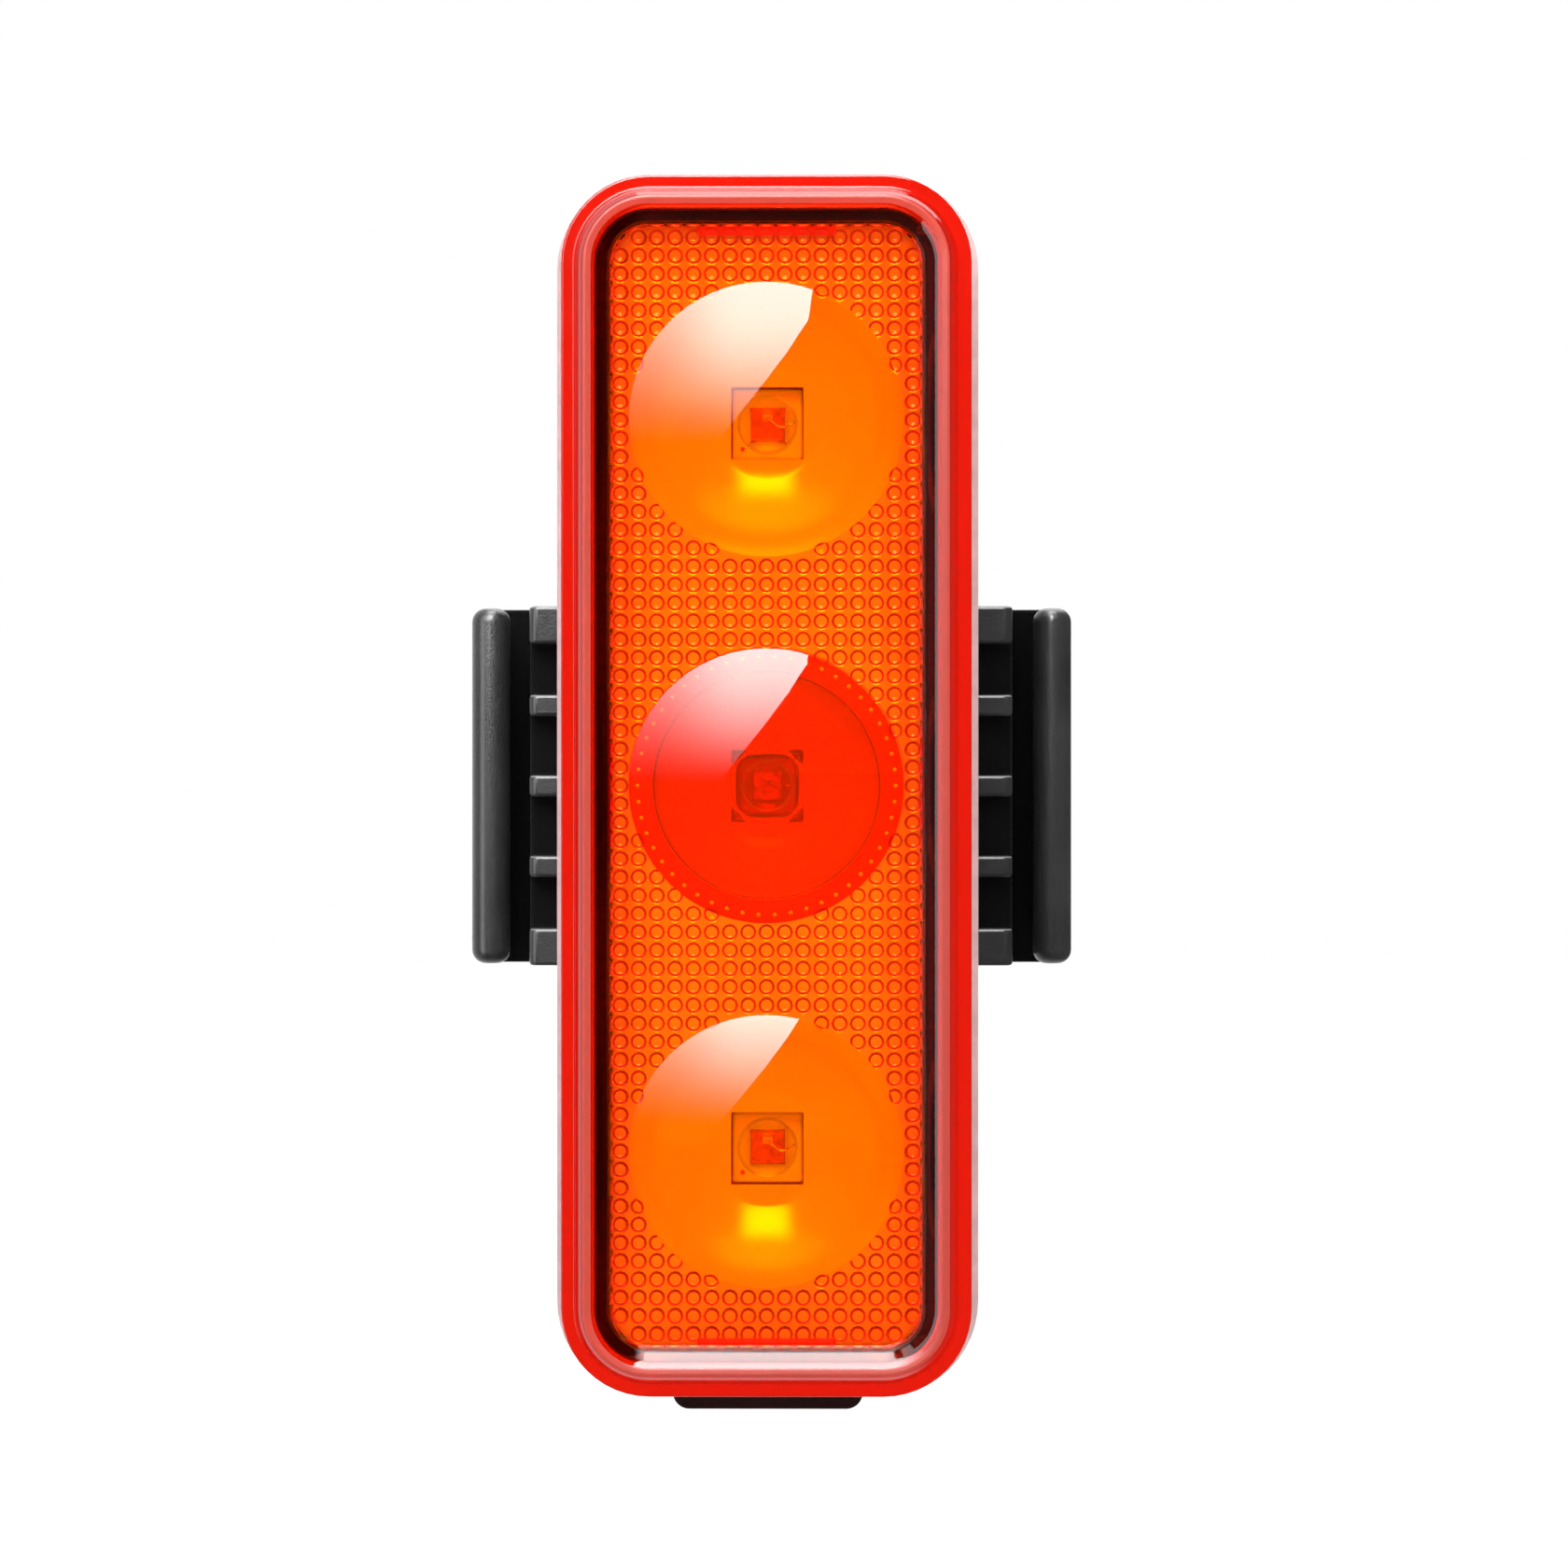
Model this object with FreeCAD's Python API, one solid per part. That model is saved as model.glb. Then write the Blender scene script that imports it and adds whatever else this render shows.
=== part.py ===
import FreeCAD, Part
import math
import os

# Rechargeable bicycle tail light on its seatpost bracket, in millimetres.
# +Z is up, the light's front faces -Y and +X is to the right seen from the front.
# The origin is on the seatpost's axis, half way up the bracket.
V = FreeCAD.Vector
X_AXIS = V(1, 0, 0)
Y_AXIS = V(0, 1, 0)
Z_AXIS = V(0, 0, 1)

# Seatpost bracket
POST_R = 13.6            # radius of the seatpost that the pad is shaped for
PAD_T = 1.6              # rubber pad
PAD_ARC = 76.0           # half angle that the pad wraps
PAD_MARGIN = 0.9         # bracket left bare above and below the pad
BRACKET_H = 22.3
SADDLE_T = 2.7           # wall behind the pad
CENTRE_FRONT = 4.3       # saddle's inner face to the face that carries the rail
CENTRE_W = 18.0
RIB_RECESS = 1.7         # depth of the hollows between the ribs
RIB_COUNT = 5
RIB_T = 1.3
END_RIB_T = 2.3
WING_PROUD = 2.4         # ribs stand out past the side of the light
STRAP_GROOVE_W = 1.35
STRAP_GROOVE_D = 8.5     # front face to the floor of the strap groove
HOOK_WALL_T = 1.5
HOOK_BACK_T = 2.2
BEAD_R = 1.2
BEAD_BACK = 4.0          # front face to the bead's axis
BEAD_INSET = 0.35        # bead is this much shorter at each end

# Rail and the slot that runs on it
RAIL_NECK_W = 7.0
RAIL_HEAD_W = 11.0
RAIL_NECK_T = 1.6
RAIL_HEAD_T = 2.0
RAIL_TOP_DOWN = 7.15     # bracket's top to the rail's top
RAIL_SIDE_GAP = 0.2
RAIL_GAP = 0.2
STOP_GAP = 0.05
SLOT_LIP_T = 0.9
CLIP_W = 16.0
CLIP_TOP_DOWN = 0.65     # bracket's top to the clip block's top
CLIP_BELOW_RAIL = 0.35
CLIP_BLOCK_GAP = 0.5     # bracket's front face to the clip's back face

# Release latch
LATCH_W = 8.2
LATCH_SIDE_GAP = 0.2
LATCH_PIVOT_DOWN = 5.15  # bracket's top to the pivot
LATCH_PIVOT_BACK = 1.6   # bracket's front face to the pivot
LATCH_BARREL_R = 1.35
LATCH_T = 1.4
LATCH_ABOVE = 6.35       # latch stands this far above the bracket
LATCH_TOOTH_REACH = 0.95
LATCH_TOOTH_H = 1.6
LATCH_TOOTH_SHARE = 0.8  # tooth width over latch width
LATCH_FACE_GAP = 0.2
LATCH_NOTCH_WALL = 1.2
THUMB_PAD_H = 3.2
THUMB_PAD_T = 0.9
PIN_R = 0.6
PIN_GAP = 0.03
PIN_EAR_W = 2.0
LEAF_T = 0.25
LEAF_W = 5.0
LEAF_FOOT = 0.6
CLIP_EDGE_R = 1.2
RIB_EDGE_R = 0.58

# Light body outline and depths
BODY_W = 25.2            # at the lens's back edge, which stands out past the case
BODY_H = 73.0
CORNER_R = 5.7
HOUSING_INSET = 0.85
HOUSING_D = 8.5
HOUSING_WALL = 1.5
COVER_T = 1.8
COVER_EDGE = 0.8         # chamfer round the back cover
SIDE_WALL_D = 6.6        # lens edge to the flange round its rim
LENS_DRAFT = 0.5
FLANGE_W = 0.6
RIM_W = 2.35             # flange to the foot of the rim's inner slope
RIM_H = 1.6
CREST_SHARE = 0.4        # where the rim's crest lies across its width
CREST_FLAT = 0.4
SHOULDER_SHARE = 0.17
FLANGE_RISE = 0.1
RECESS_D = 1.5
LENS_WALL = 1.5
PANEL_T = 1.4
DOME_R = 8.1
DOME_H = 1.4
LAMP_MARGIN = 3.35       # end of the panel to the nearest dome
TONGUE_T = 0.9
TONGUE_H = 1.2
FIT_GAP = 0.05

# Optics
REFLECTOR_EDGE_GAP = 0.25
LENS_AIR_GAP = 0.4
CUP_MOUTH_R = 7.6
CUP_FOOT_R = 2.9
CUP_FLOOR_T = 0.5
WINDOW_GAP = 0.15        # square window round each lamp in its cup
CUP_MID_SHARE = 0.72     # how far the cup has widened half way up
TIR_R = 6.6
TIR_FOOT_R = 2.6
TIR_CONE_GAP = 0.1
TIR_FLANGE_T = 0.9
TIR_FLANGE_R = 8.0
TIR_CAVITY_R = 1.6
TIR_CAVITY_D = 2.3
LED_SIDE = 3.45
LED_T = 0.55
LED_DOME_R = 1.3
DIE_SIDE = 1.4
DIE_T = 0.15
LED_BOARD_T = 1.0
LAMP_BOARD_SET_IN = 0.6  # housing's front edge to the board's back
BOARD_EDGE_GAP = 0.2
BOARD_R = 2.8

# Electronics
MAIN_BOARD_T = 0.8
BOARD_SPACING = 1.8      # back of the lamp board to the front of the main board
MAIN_BOARD_BOSS_GAP = 0.7
MAIN_BOARD_NECK_W = 11.0
MAIN_BOARD_TOP_ROOM = 2.65     # left above the board for the button
MAIN_BOARD_BOTTOM_ROOM = 0.95
LEDGE_T = 1.4
LEDGE_W = 0.9
LEDGE_SHORT = 5.0        # ledge ends this far short of the board's wide part
CELL_W = 17.0
CELL_T = 4.2
CELL_ABOVE_PARTS = 6.5   # middle of the low components to the cell
CELL_R = 0.9
FOAM_INSET = 1.5
TAB_W = 3.0
TAB_T = 0.15
TAB_L = 2.4
TAB_IN = 3.5             # side of the cell to the middle of a tab
USB_W = 7.5
USB_T = 2.6
USB_L = 5.0
USB_SHELL = 0.3
USB_SETBACK = 0.45
USB_TONGUE_W = 5.2
USB_TONGUE_T = 0.7
USB_TONGUE_IN = 1.1
PORT_GAP = 0.35
SWITCH_W = 4.4
SWITCH_T = 2.2
SWITCH_L = 3.4
SWITCH_DOWN = 0.1
PLUNGER_R = 0.7
PLUNGER_GAP = 0.08
PLUNGER_IN = 0.7
HEADER_W = 5.0
HEADER_H = 2.5
LOW_PARTS_UP = 7.65      # inside of the bottom wall to the middle of the low components
INDUCTOR_SIDE = 4.0
INDUCTOR_T = 2.0
INDUCTOR_CHAMFER = 0.5
CHIP_SIDE = 4.0
CHIP_T = 0.9
CHIP_SPACE = 1.0
CHARGER_W = 1.6
CHARGER_H = 3.0
CAPACITOR_W = 0.8
CAPACITOR_H = 1.6
PIPE_R = 1.0
PIPE_COLLAR_R = 1.5
PIPE_COLLAR_T = 0.8
PIPE_DOWN = 2.4          # top of the board's wide part to the light pipe
PIPE_CELL_GAP = 1.1
STATUS_LED_W = 1.6
STATUS_LED_T = 0.6

# Fasteners and seals
BOSS_R = 2.2
BOSS_IN_X = 3.5
BOSS_IN_Z = 3.75
SCREW_R = 0.9
SCREW_HEAD_R = 1.7
SCREW_HEAD_T = 1.0
SCREW_L = 6.0
SCREW_GAP = 0.05
SCREW_SLOT_W = 0.5
DRIVE_R = 1.05           # reach of the cross recess in the head
SCREW_TIP_GAP = 0.3
HEAD_RECESS = 1.1
BOARD_SCREW_R = 0.7
BOARD_SCREW_HEAD_R = 1.3
BOARD_SCREW_HEAD_T = 0.8
BOARD_SCREW_L = 3.6
SEAL_T = 0.7
SEAL_IN = 0.4

# Button on the top and flap over the charging port
BUTTON_W = 8.0
BUTTON_D = 4.0
BUTTON_GAP = 0.2
BUTTON_PROUD = 0.75
BUTTON_LIP = 0.8
BUTTON_LIP_T = 0.55
BUTTON_LIP_GAP = 0.1
BUTTON_STEM_R = 1.2
BUTTON_TRAVEL = 0.5
BUTTON_EDGE_R = 0.45
BUTTON_CLEAR = 0.4       # left between stem and switch when pressed
FLAP_W = 11.4
FLAP_D = 4.6
FLAP_T = 1.6
FLAP_R = 1.0
FLAP_GAP = 0.1
STRIP_T = 0.75
STRIP_L = 1.35
ANCHOR_L = 1.7
ANCHOR_W = 7.0
FOLD_GAP = 0.2
PEG_R = 0.4
PEG_L = 0.9
PLUG_H = 0.85
PLUG_GAP = 0.25

# Levels along Y, from the seatpost out to the front of the light
SADDLE_IN_R = POST_R + PAD_T
SADDLE_OUT_R = SADDLE_IN_R + SADDLE_T
CENTRE_Y = -(SADDLE_IN_R + CENTRE_FRONT)
HEAD_BACK_Y = CENTRE_Y - RAIL_NECK_T
HEAD_FRONT_Y = HEAD_BACK_Y - RAIL_HEAD_T
CLIP_BACK_Y = CENTRE_Y - CLIP_BLOCK_GAP
LIP_Y = CLIP_BACK_Y - SLOT_LIP_T
SLOT_FLOOR_Y = HEAD_FRONT_Y - RAIL_GAP
COVER_BACK_Y = SLOT_FLOOR_Y - RAIL_SIDE_GAP * 2
COVER_FRONT_Y = COVER_BACK_Y - COVER_T
HOUSING_FRONT_Y = COVER_FRONT_Y - HOUSING_D
FLANGE_Y = HOUSING_FRONT_Y - SIDE_WALL_D
CREST_Y = FLANGE_Y - RIM_H
PANEL_Y = CREST_Y + RECESS_D
PANEL_BACK_Y = PANEL_Y + PANEL_T
LAMP_BOARD_BACK_Y = HOUSING_FRONT_Y + LAMP_BOARD_SET_IN
LAMP_BOARD_Y = LAMP_BOARD_BACK_Y - LED_BOARD_T
REFLECTOR_Y = PANEL_BACK_Y + LENS_AIR_GAP
MAIN_FRONT_Y = LAMP_BOARD_BACK_Y + BOARD_SPACING
MAIN_BACK_Y = MAIN_FRONT_Y + MAIN_BOARD_T
PORT_Y = MAIN_BACK_Y + USB_T / 2
CELL_FRONT_Y = MAIN_BACK_Y + FIT_GAP
CELL_BACK_Y = CELL_FRONT_Y + CELL_T

# Levels along Z and half sizes
BRACKET_TOP = BRACKET_H / 2
RAIL_TOP = BRACKET_TOP - RAIL_TOP_DOWN
CLIP_TOP = BRACKET_TOP - CLIP_TOP_DOWN
LATCH_PIVOT_Z = BRACKET_TOP - LATCH_PIVOT_DOWN
LATCH_TOP = BRACKET_TOP + LATCH_ABOVE
GROOVE_FLOOR_Y = CENTRE_Y + STRAP_GROOVE_D
BEAD_Y = CENTRE_Y + BEAD_BACK
WING_HALF_W = BODY_W / 2 + WING_PROUD
HOUSING_HALF_W = BODY_W / 2 - HOUSING_INSET
HOUSING_TOP = BODY_H / 2 - HOUSING_INSET
WALL_IN_Z = HOUSING_TOP - HOUSING_WALL
WALL_IN_X = HOUSING_HALF_W - HOUSING_WALL
HOOK_OUT_X = WING_HALF_W + STRAP_GROOVE_W + 2 * BEAD_R
BEAD_X = HOOK_OUT_X - BEAD_R
CLIP_BOTTOM = -BRACKET_TOP - CLIP_BELOW_RAIL
PANEL_IN = LENS_DRAFT + FLANGE_W + RIM_W
LAMP_PITCH = BODY_H / 2 - PANEL_IN - LAMP_MARGIN - DOME_R
LAMP_Z = [LAMP_PITCH, 0.0, -LAMP_PITCH]
BOSS_X = HOUSING_HALF_W - BOSS_IN_X
BOSS_Z = HOUSING_TOP - BOSS_IN_Z
LATCH_PIVOT_Y = CENTRE_Y + LATCH_PIVOT_BACK
NOTCH_BACK_Y = -(SADDLE_IN_R + LATCH_NOTCH_WALL)
NOTCH_FLOOR_Z = LATCH_PIVOT_Z - LATCH_BARREL_R - RAIL_GAP
BOARD_HALF_H = BOSS_Z - BOSS_R - MAIN_BOARD_BOSS_GAP
MAIN_BOARD_TOP = WALL_IN_Z - MAIN_BOARD_TOP_ROOM
LOW_PARTS_Z = -WALL_IN_Z + LOW_PARTS_UP
CELL_BOTTOM = LOW_PARTS_Z + CELL_ABOVE_PARTS
PIPE_X = TAB_IN - CELL_W / 2
PIPE_Z = BOARD_HALF_H - PIPE_DOWN
CELL_TOP = PIPE_Z - PIPE_COLLAR_R - PIPE_CELL_GAP
TAB_X = CELL_W / 2 - TAB_IN
BUTTON_Y = PORT_Y
SWITCH_TOP = MAIN_BOARD_TOP - SWITCH_DOWN
BUTTON_LIP_TOP = WALL_IN_Z - BUTTON_LIP_GAP
PORT_BOTTOM = -HOUSING_TOP + USB_SETBACK
FLAP_TOP = -HOUSING_TOP - FLAP_GAP
FOLD_Y = PORT_Y + USB_T / 2 + PORT_GAP
FLAP_BACK_Y = FOLD_Y - STRIP_L
FLAP_FRONT_Y = FLAP_BACK_Y - FLAP_D
FOLD_Z = FLAP_TOP - STRIP_T / 2
ANCHOR_Y = FOLD_Y + STRIP_T / 2 + FOLD_GAP
PEG_Y = ANCHOR_Y + PEG_R + FIT_GAP


def box(x0, x1, y0, y1, z0, z1):
    """Box between two corners."""
    return Part.makeBox(x1 - x0, y1 - y0, z1 - z0, V(x0, y0, z0))


def rod_y(radius, x, z, y0, y1):
    """Cylinder along Y."""
    return Part.makeCylinder(radius, y1 - y0, V(x, y0, z), Y_AXIS)


def rod_z(radius, x, y, z0, z1):
    """Cylinder along Z."""
    return Part.makeCylinder(radius, z1 - z0, V(x, y, z0), Z_AXIS)


def rod_x(radius, y, z, x0, x1):
    """Cylinder along X."""
    return Part.makeCylinder(radius, x1 - x0, V(x0, y, z), X_AXIS)


def outline(half_w, half_h, radius, y):
    """Rounded rectangle in the plane Y = y, as one closed wire."""
    corners = [(1, 1, 0.0), (-1, 1, 90.0), (-1, -1, 180.0), (1, -1, 270.0)]
    arcs = []
    for side_x, side_z, start in corners:
        centre = V(side_x * (half_w - radius), y, side_z * (half_h - radius))
        points = []
        for turn in (0.0, 45.0, 90.0):
            angle = math.radians(start + turn)
            points.append(centre + V(radius * math.cos(angle), 0, radius * math.sin(angle)))
        arcs.append((Part.Arc(*points).toShape(), points[0], points[2]))
    edges = []
    for number, (arc, first, last) in enumerate(arcs):
        edges.append(arc)
        following = arcs[(number + 1) % len(arcs)][1]
        if last.distanceToPoint(following) > 1e-6:
            edges.append(Part.makeLine(last, following))
    return Part.Wire(edges)


def body_outline(inset, y):
    """The light's own outline, drawn in by inset."""
    return outline(BODY_W / 2 - inset, BODY_H / 2 - inset, CORNER_R - inset, y)


def slab(wire, y1):
    """Solid from a wire in a plane of constant Y to the plane Y = y1."""
    face = Part.Face(wire)
    y0 = wire.BoundBox.YMin
    return face.extrude(V(0, y1 - y0, 0))


def stack(levels):
    """Solid through the body outlines given as (inset, y), nearest ones joined by flat walls."""
    return Part.makeLoft([body_outline(inset, y) for inset, y in levels], True, True)


def extrude_yz(points, x0, x1):
    """Prism over a polygon drawn in Y and Z."""
    wire = Part.makePolygon([V(x0, y, z) for y, z in points + points[:1]])
    return Part.Face(wire).extrude(V(x1 - x0, 0, 0))


def stadium_z(width, depth, y, z0, z1):
    """Long-round prism along Z, centred on X = 0."""
    radius = depth / 2
    reach = width / 2 - radius
    middle = box(-reach, reach, y - radius, y + radius, z0, z1)
    return middle.fuse([rod_z(radius, -reach, y, z0, z1), rod_z(radius, reach, y, z0, z1)]).removeSplitter()


def join(shapes):
    """One solid from touching solids."""
    return shapes[0].fuse(shapes[1:]).removeSplitter()


def sector(r_in, r_out, half_angle, z0, z1):
    """Part of a tube round the seatpost, centred on the -Y side."""
    tube = Part.makeCylinder(r_out, z1 - z0, V(0, 0, z0), Z_AXIS, 2 * half_angle)
    tube = tube.cut(rod_z(r_in, 0, 0, z0 - 1, z1 + 1))
    tube.rotate(V(0, 0, 0), Z_AXIS, -90.0 - half_angle)
    return tube


def rib_levels():
    """Bottom and top of each rib on the bracket's wings."""
    spread = BRACKET_H - END_RIB_T
    pitch = spread / (RIB_COUNT - 1)
    levels = []
    for number in range(RIB_COUNT):
        middle = -spread / 2 + number * pitch
        half = END_RIB_T / 2 if number in (0, RIB_COUNT - 1) else RIB_T / 2
        levels.append((middle - half, middle + half))
    return levels


def hook(side):
    """Strap hook on one side: a wall that stands forward and ends in a round bead."""
    z0, z1 = -BRACKET_TOP, BRACKET_TOP
    back_y = GROOVE_FLOOR_Y + HOOK_BACK_T
    floor = box(WING_HALF_W - HOOK_BACK_T, HOOK_OUT_X, GROOVE_FLOOR_Y, back_y, z0, z1)
    inner = HOOK_OUT_X - HOOK_WALL_T
    wall = box(inner, HOOK_OUT_X, BEAD_Y, back_y, z0 + BEAD_INSET, z1 - BEAD_INSET)
    reach = BRACKET_TOP - BEAD_INSET - BEAD_R
    bead = rod_z(BEAD_R, BEAD_X, BEAD_Y, -reach, reach)
    ends = [Part.makeSphere(BEAD_R, V(BEAD_X, BEAD_Y, z)) for z in (-reach, reach)]
    wall = wall.cut(end_trim(-1)).cut(end_trim(1))
    shape = join([floor, wall, bead] + ends)
    return shape if side > 0 else shape.mirror(V(0, 0, 0), X_AXIS)


def end_trim(end):
    """What is taken off the hook's wall so that it follows the bead's round end."""
    z_end = end * (BRACKET_TOP - BEAD_INSET)
    z_in = z_end - end * BEAD_R
    return extrude_yz([(BEAD_Y - FIT_GAP, z_in), (BEAD_Y - FIT_GAP, z_end + end),
                       (BEAD_Y + 2 * BEAD_R, z_end + end), (BEAD_Y + 2 * BEAD_R, z_end)],
                      HOOK_OUT_X - 2 * HOOK_WALL_T, HOOK_OUT_X + HOOK_WALL_T)


def bracket_body():
    """Saddle with ribbed wings, strap hooks and the rail that carries the light."""
    z0, z1 = -BRACKET_TOP, BRACKET_TOP
    floor_y = CENTRE_Y + RIB_RECESS
    shapes = [sector(SADDLE_IN_R, SADDLE_OUT_R, PAD_ARC, z0, z1)]
    shapes.append(box(-WING_HALF_W, WING_HALF_W, floor_y, GROOVE_FLOOR_Y + HOOK_BACK_T / 2, z0, z1))
    shapes.append(box(-CENTRE_W / 2, CENTRE_W / 2, CENTRE_Y, floor_y, z0, z1))
    for low, high in rib_levels():
        rib = box(-WING_HALF_W, WING_HALF_W, CENTRE_Y, floor_y, low, high)
        edges = [e for e in rib.Edges if e.BoundBox.ZLength > 0.1 and abs(e.BoundBox.YMin - CENTRE_Y) < 1e-6]
        shapes.append(rib.makeFillet(RIB_EDGE_R, edges))
    shapes += [hook(1), hook(-1)]
    shape = join(shapes)
    shape = shape.cut(rod_z(SADDLE_IN_R, 0, 0, z0 - 1, z1 + 1))
    shape = shape.cut(latch_notch())
    neck = box(-RAIL_NECK_W / 2, RAIL_NECK_W / 2, HEAD_BACK_Y, CENTRE_Y, z0, RAIL_TOP)
    head = box(-RAIL_HEAD_W / 2, RAIL_HEAD_W / 2, HEAD_FRONT_Y, HEAD_BACK_Y, z0, RAIL_TOP)
    return join([shape, neck, head])


def latch_notch():
    """Pocket in the top of the bracket that the latch turns in, with its pin's bore."""
    half = LATCH_W / 2 + LATCH_SIDE_GAP
    pocket = box(-half, half, CENTRE_Y - 1, NOTCH_BACK_Y, NOTCH_FLOOR_Z, BRACKET_TOP + 1)
    reach = half + PIN_EAR_W
    return pocket.fuse(rod_x(PIN_R, LATCH_PIVOT_Y, LATCH_PIVOT_Z, -reach, reach))


def bracket_pad():
    """Rubber pad between the bracket and the seatpost."""
    reach = BRACKET_TOP - PAD_MARGIN
    return sector(POST_R, SADDLE_IN_R, PAD_ARC, -reach, reach)


def latch_lever():
    """Release latch: barrel on the pin, plate, tooth over the clip and thumb pad."""
    half = LATCH_W / 2
    front = CENTRE_Y + LATCH_FACE_GAP
    back = front + LATCH_T
    low = CLIP_TOP + STOP_GAP * 2
    barrel = rod_x(LATCH_BARREL_R, LATCH_PIVOT_Y, LATCH_PIVOT_Z, -half, half)
    plate = box(-half, half, front, back, LATCH_PIVOT_Z, LATCH_TOP)
    tip = CLIP_BACK_Y - LATCH_TOOTH_REACH
    tooth_points = [(front, low), (tip, low), (tip, low + LATCH_TOOTH_H / 3),
                    (front, low + LATCH_TOOTH_H)]
    tooth = extrude_yz(tooth_points, -half * LATCH_TOOTH_SHARE, half * LATCH_TOOTH_SHARE)
    thumb_low = LATCH_TOP - THUMB_PAD_H
    thumb = box(-half, half, front - THUMB_PAD_T, front, thumb_low, LATCH_TOP)
    shape = join([barrel, plate, tooth, thumb])
    return shape.cut(rod_x(PIN_R + PIN_GAP, LATCH_PIVOT_Y, LATCH_PIVOT_Z, -half - 1, half + 1))


def latch_pin():
    """Steel pin that the latch turns on."""
    reach = LATCH_W / 2 + LATCH_SIDE_GAP + PIN_EAR_W
    return rod_x(PIN_R, LATCH_PIVOT_Y, LATCH_PIVOT_Z, -reach, reach)


def latch_spring():
    """Bent steel leaf between the pocket's back wall and the latch."""
    wall = NOTCH_BACK_Y
    lever = CENTRE_Y + LATCH_FACE_GAP + LATCH_T + PIN_GAP
    low = LATCH_PIVOT_Z + LATCH_BARREL_R + PIN_GAP
    high = BRACKET_TOP - 2 * LEAF_T
    points = [(wall, low), (wall, high - LEAF_FOOT), (wall - LEAF_T, high - LEAF_FOOT),
              (wall - LEAF_T, low + LEAF_FOOT), (lever + LEAF_T, high), (lever, high),
              (lever, high - LEAF_FOOT * 0.7), (wall - LEAF_T, low)]
    return extrude_yz(points, -LEAF_W / 2, LEAF_W / 2)


def clip_block():
    """Block on the back cover that holds the slot for the rail."""
    block = box(-CLIP_W / 2, CLIP_W / 2, COVER_BACK_Y, CLIP_BACK_Y, CLIP_BOTTOM, CLIP_TOP)
    upright = [e for e in block.Edges
               if e.BoundBox.ZLength > 1 and abs(e.BoundBox.YMin - CLIP_BACK_Y) < 1e-6]
    return block.makeFillet(CLIP_EDGE_R, upright)


def rail_slot():
    """Room for the rail in the clip block and the back cover."""
    top = RAIL_TOP + STOP_GAP
    neck = RAIL_NECK_W / 2 + RAIL_SIDE_GAP
    head = RAIL_HEAD_W / 2 + RAIL_SIDE_GAP
    narrow = box(-neck, neck, LIP_Y, CLIP_BACK_Y + 1, CLIP_BOTTOM - 1, top)
    wide = box(-head, head, SLOT_FLOOR_Y, LIP_Y, CLIP_BOTTOM - 1, top)
    return narrow.fuse(wide)


def boss_places():
    """Centres of the four screw bosses, as X and Z."""
    return [(x, z) for x in (-BOSS_X, BOSS_X) for z in (-BOSS_Z, BOSS_Z)]


def back_cover():
    """Black plate that closes the light, with the clip block and screw recesses."""
    plate = stack([(HOUSING_INSET, COVER_FRONT_Y), (HOUSING_INSET, COVER_BACK_Y - COVER_EDGE),
                   (HOUSING_INSET + COVER_EDGE, COVER_BACK_Y)])
    shape = join([plate, clip_block()]).cut(rail_slot())
    recess_r = SCREW_HEAD_R + 2 * SCREW_GAP
    for x, z in boss_places():
        shape = shape.cut(rod_y(recess_r, x, z, COVER_BACK_Y - HEAD_RECESS, COVER_BACK_Y + 1))
        shape = shape.cut(rod_y(SCREW_R + SCREW_GAP, x, z, COVER_FRONT_Y - 1, COVER_BACK_Y))
    return shape.cut(rod_y(PIPE_R + FIT_GAP, PIPE_X, PIPE_Z, COVER_FRONT_Y - 1, COVER_BACK_Y + 1))


def seal_path(inset, depth):
    """Ring of square section just inside the housing's edge."""
    y1 = COVER_FRONT_Y
    outer = slab(body_outline(HOUSING_INSET + inset, y1 - depth), y1)
    return outer.cut(slab(body_outline(HOUSING_INSET + inset + SEAL_T, y1 - depth), y1))


def back_gasket():
    """Rubber seal between the housing and its back cover."""
    return seal_path(SEAL_IN, SEAL_T)


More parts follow.
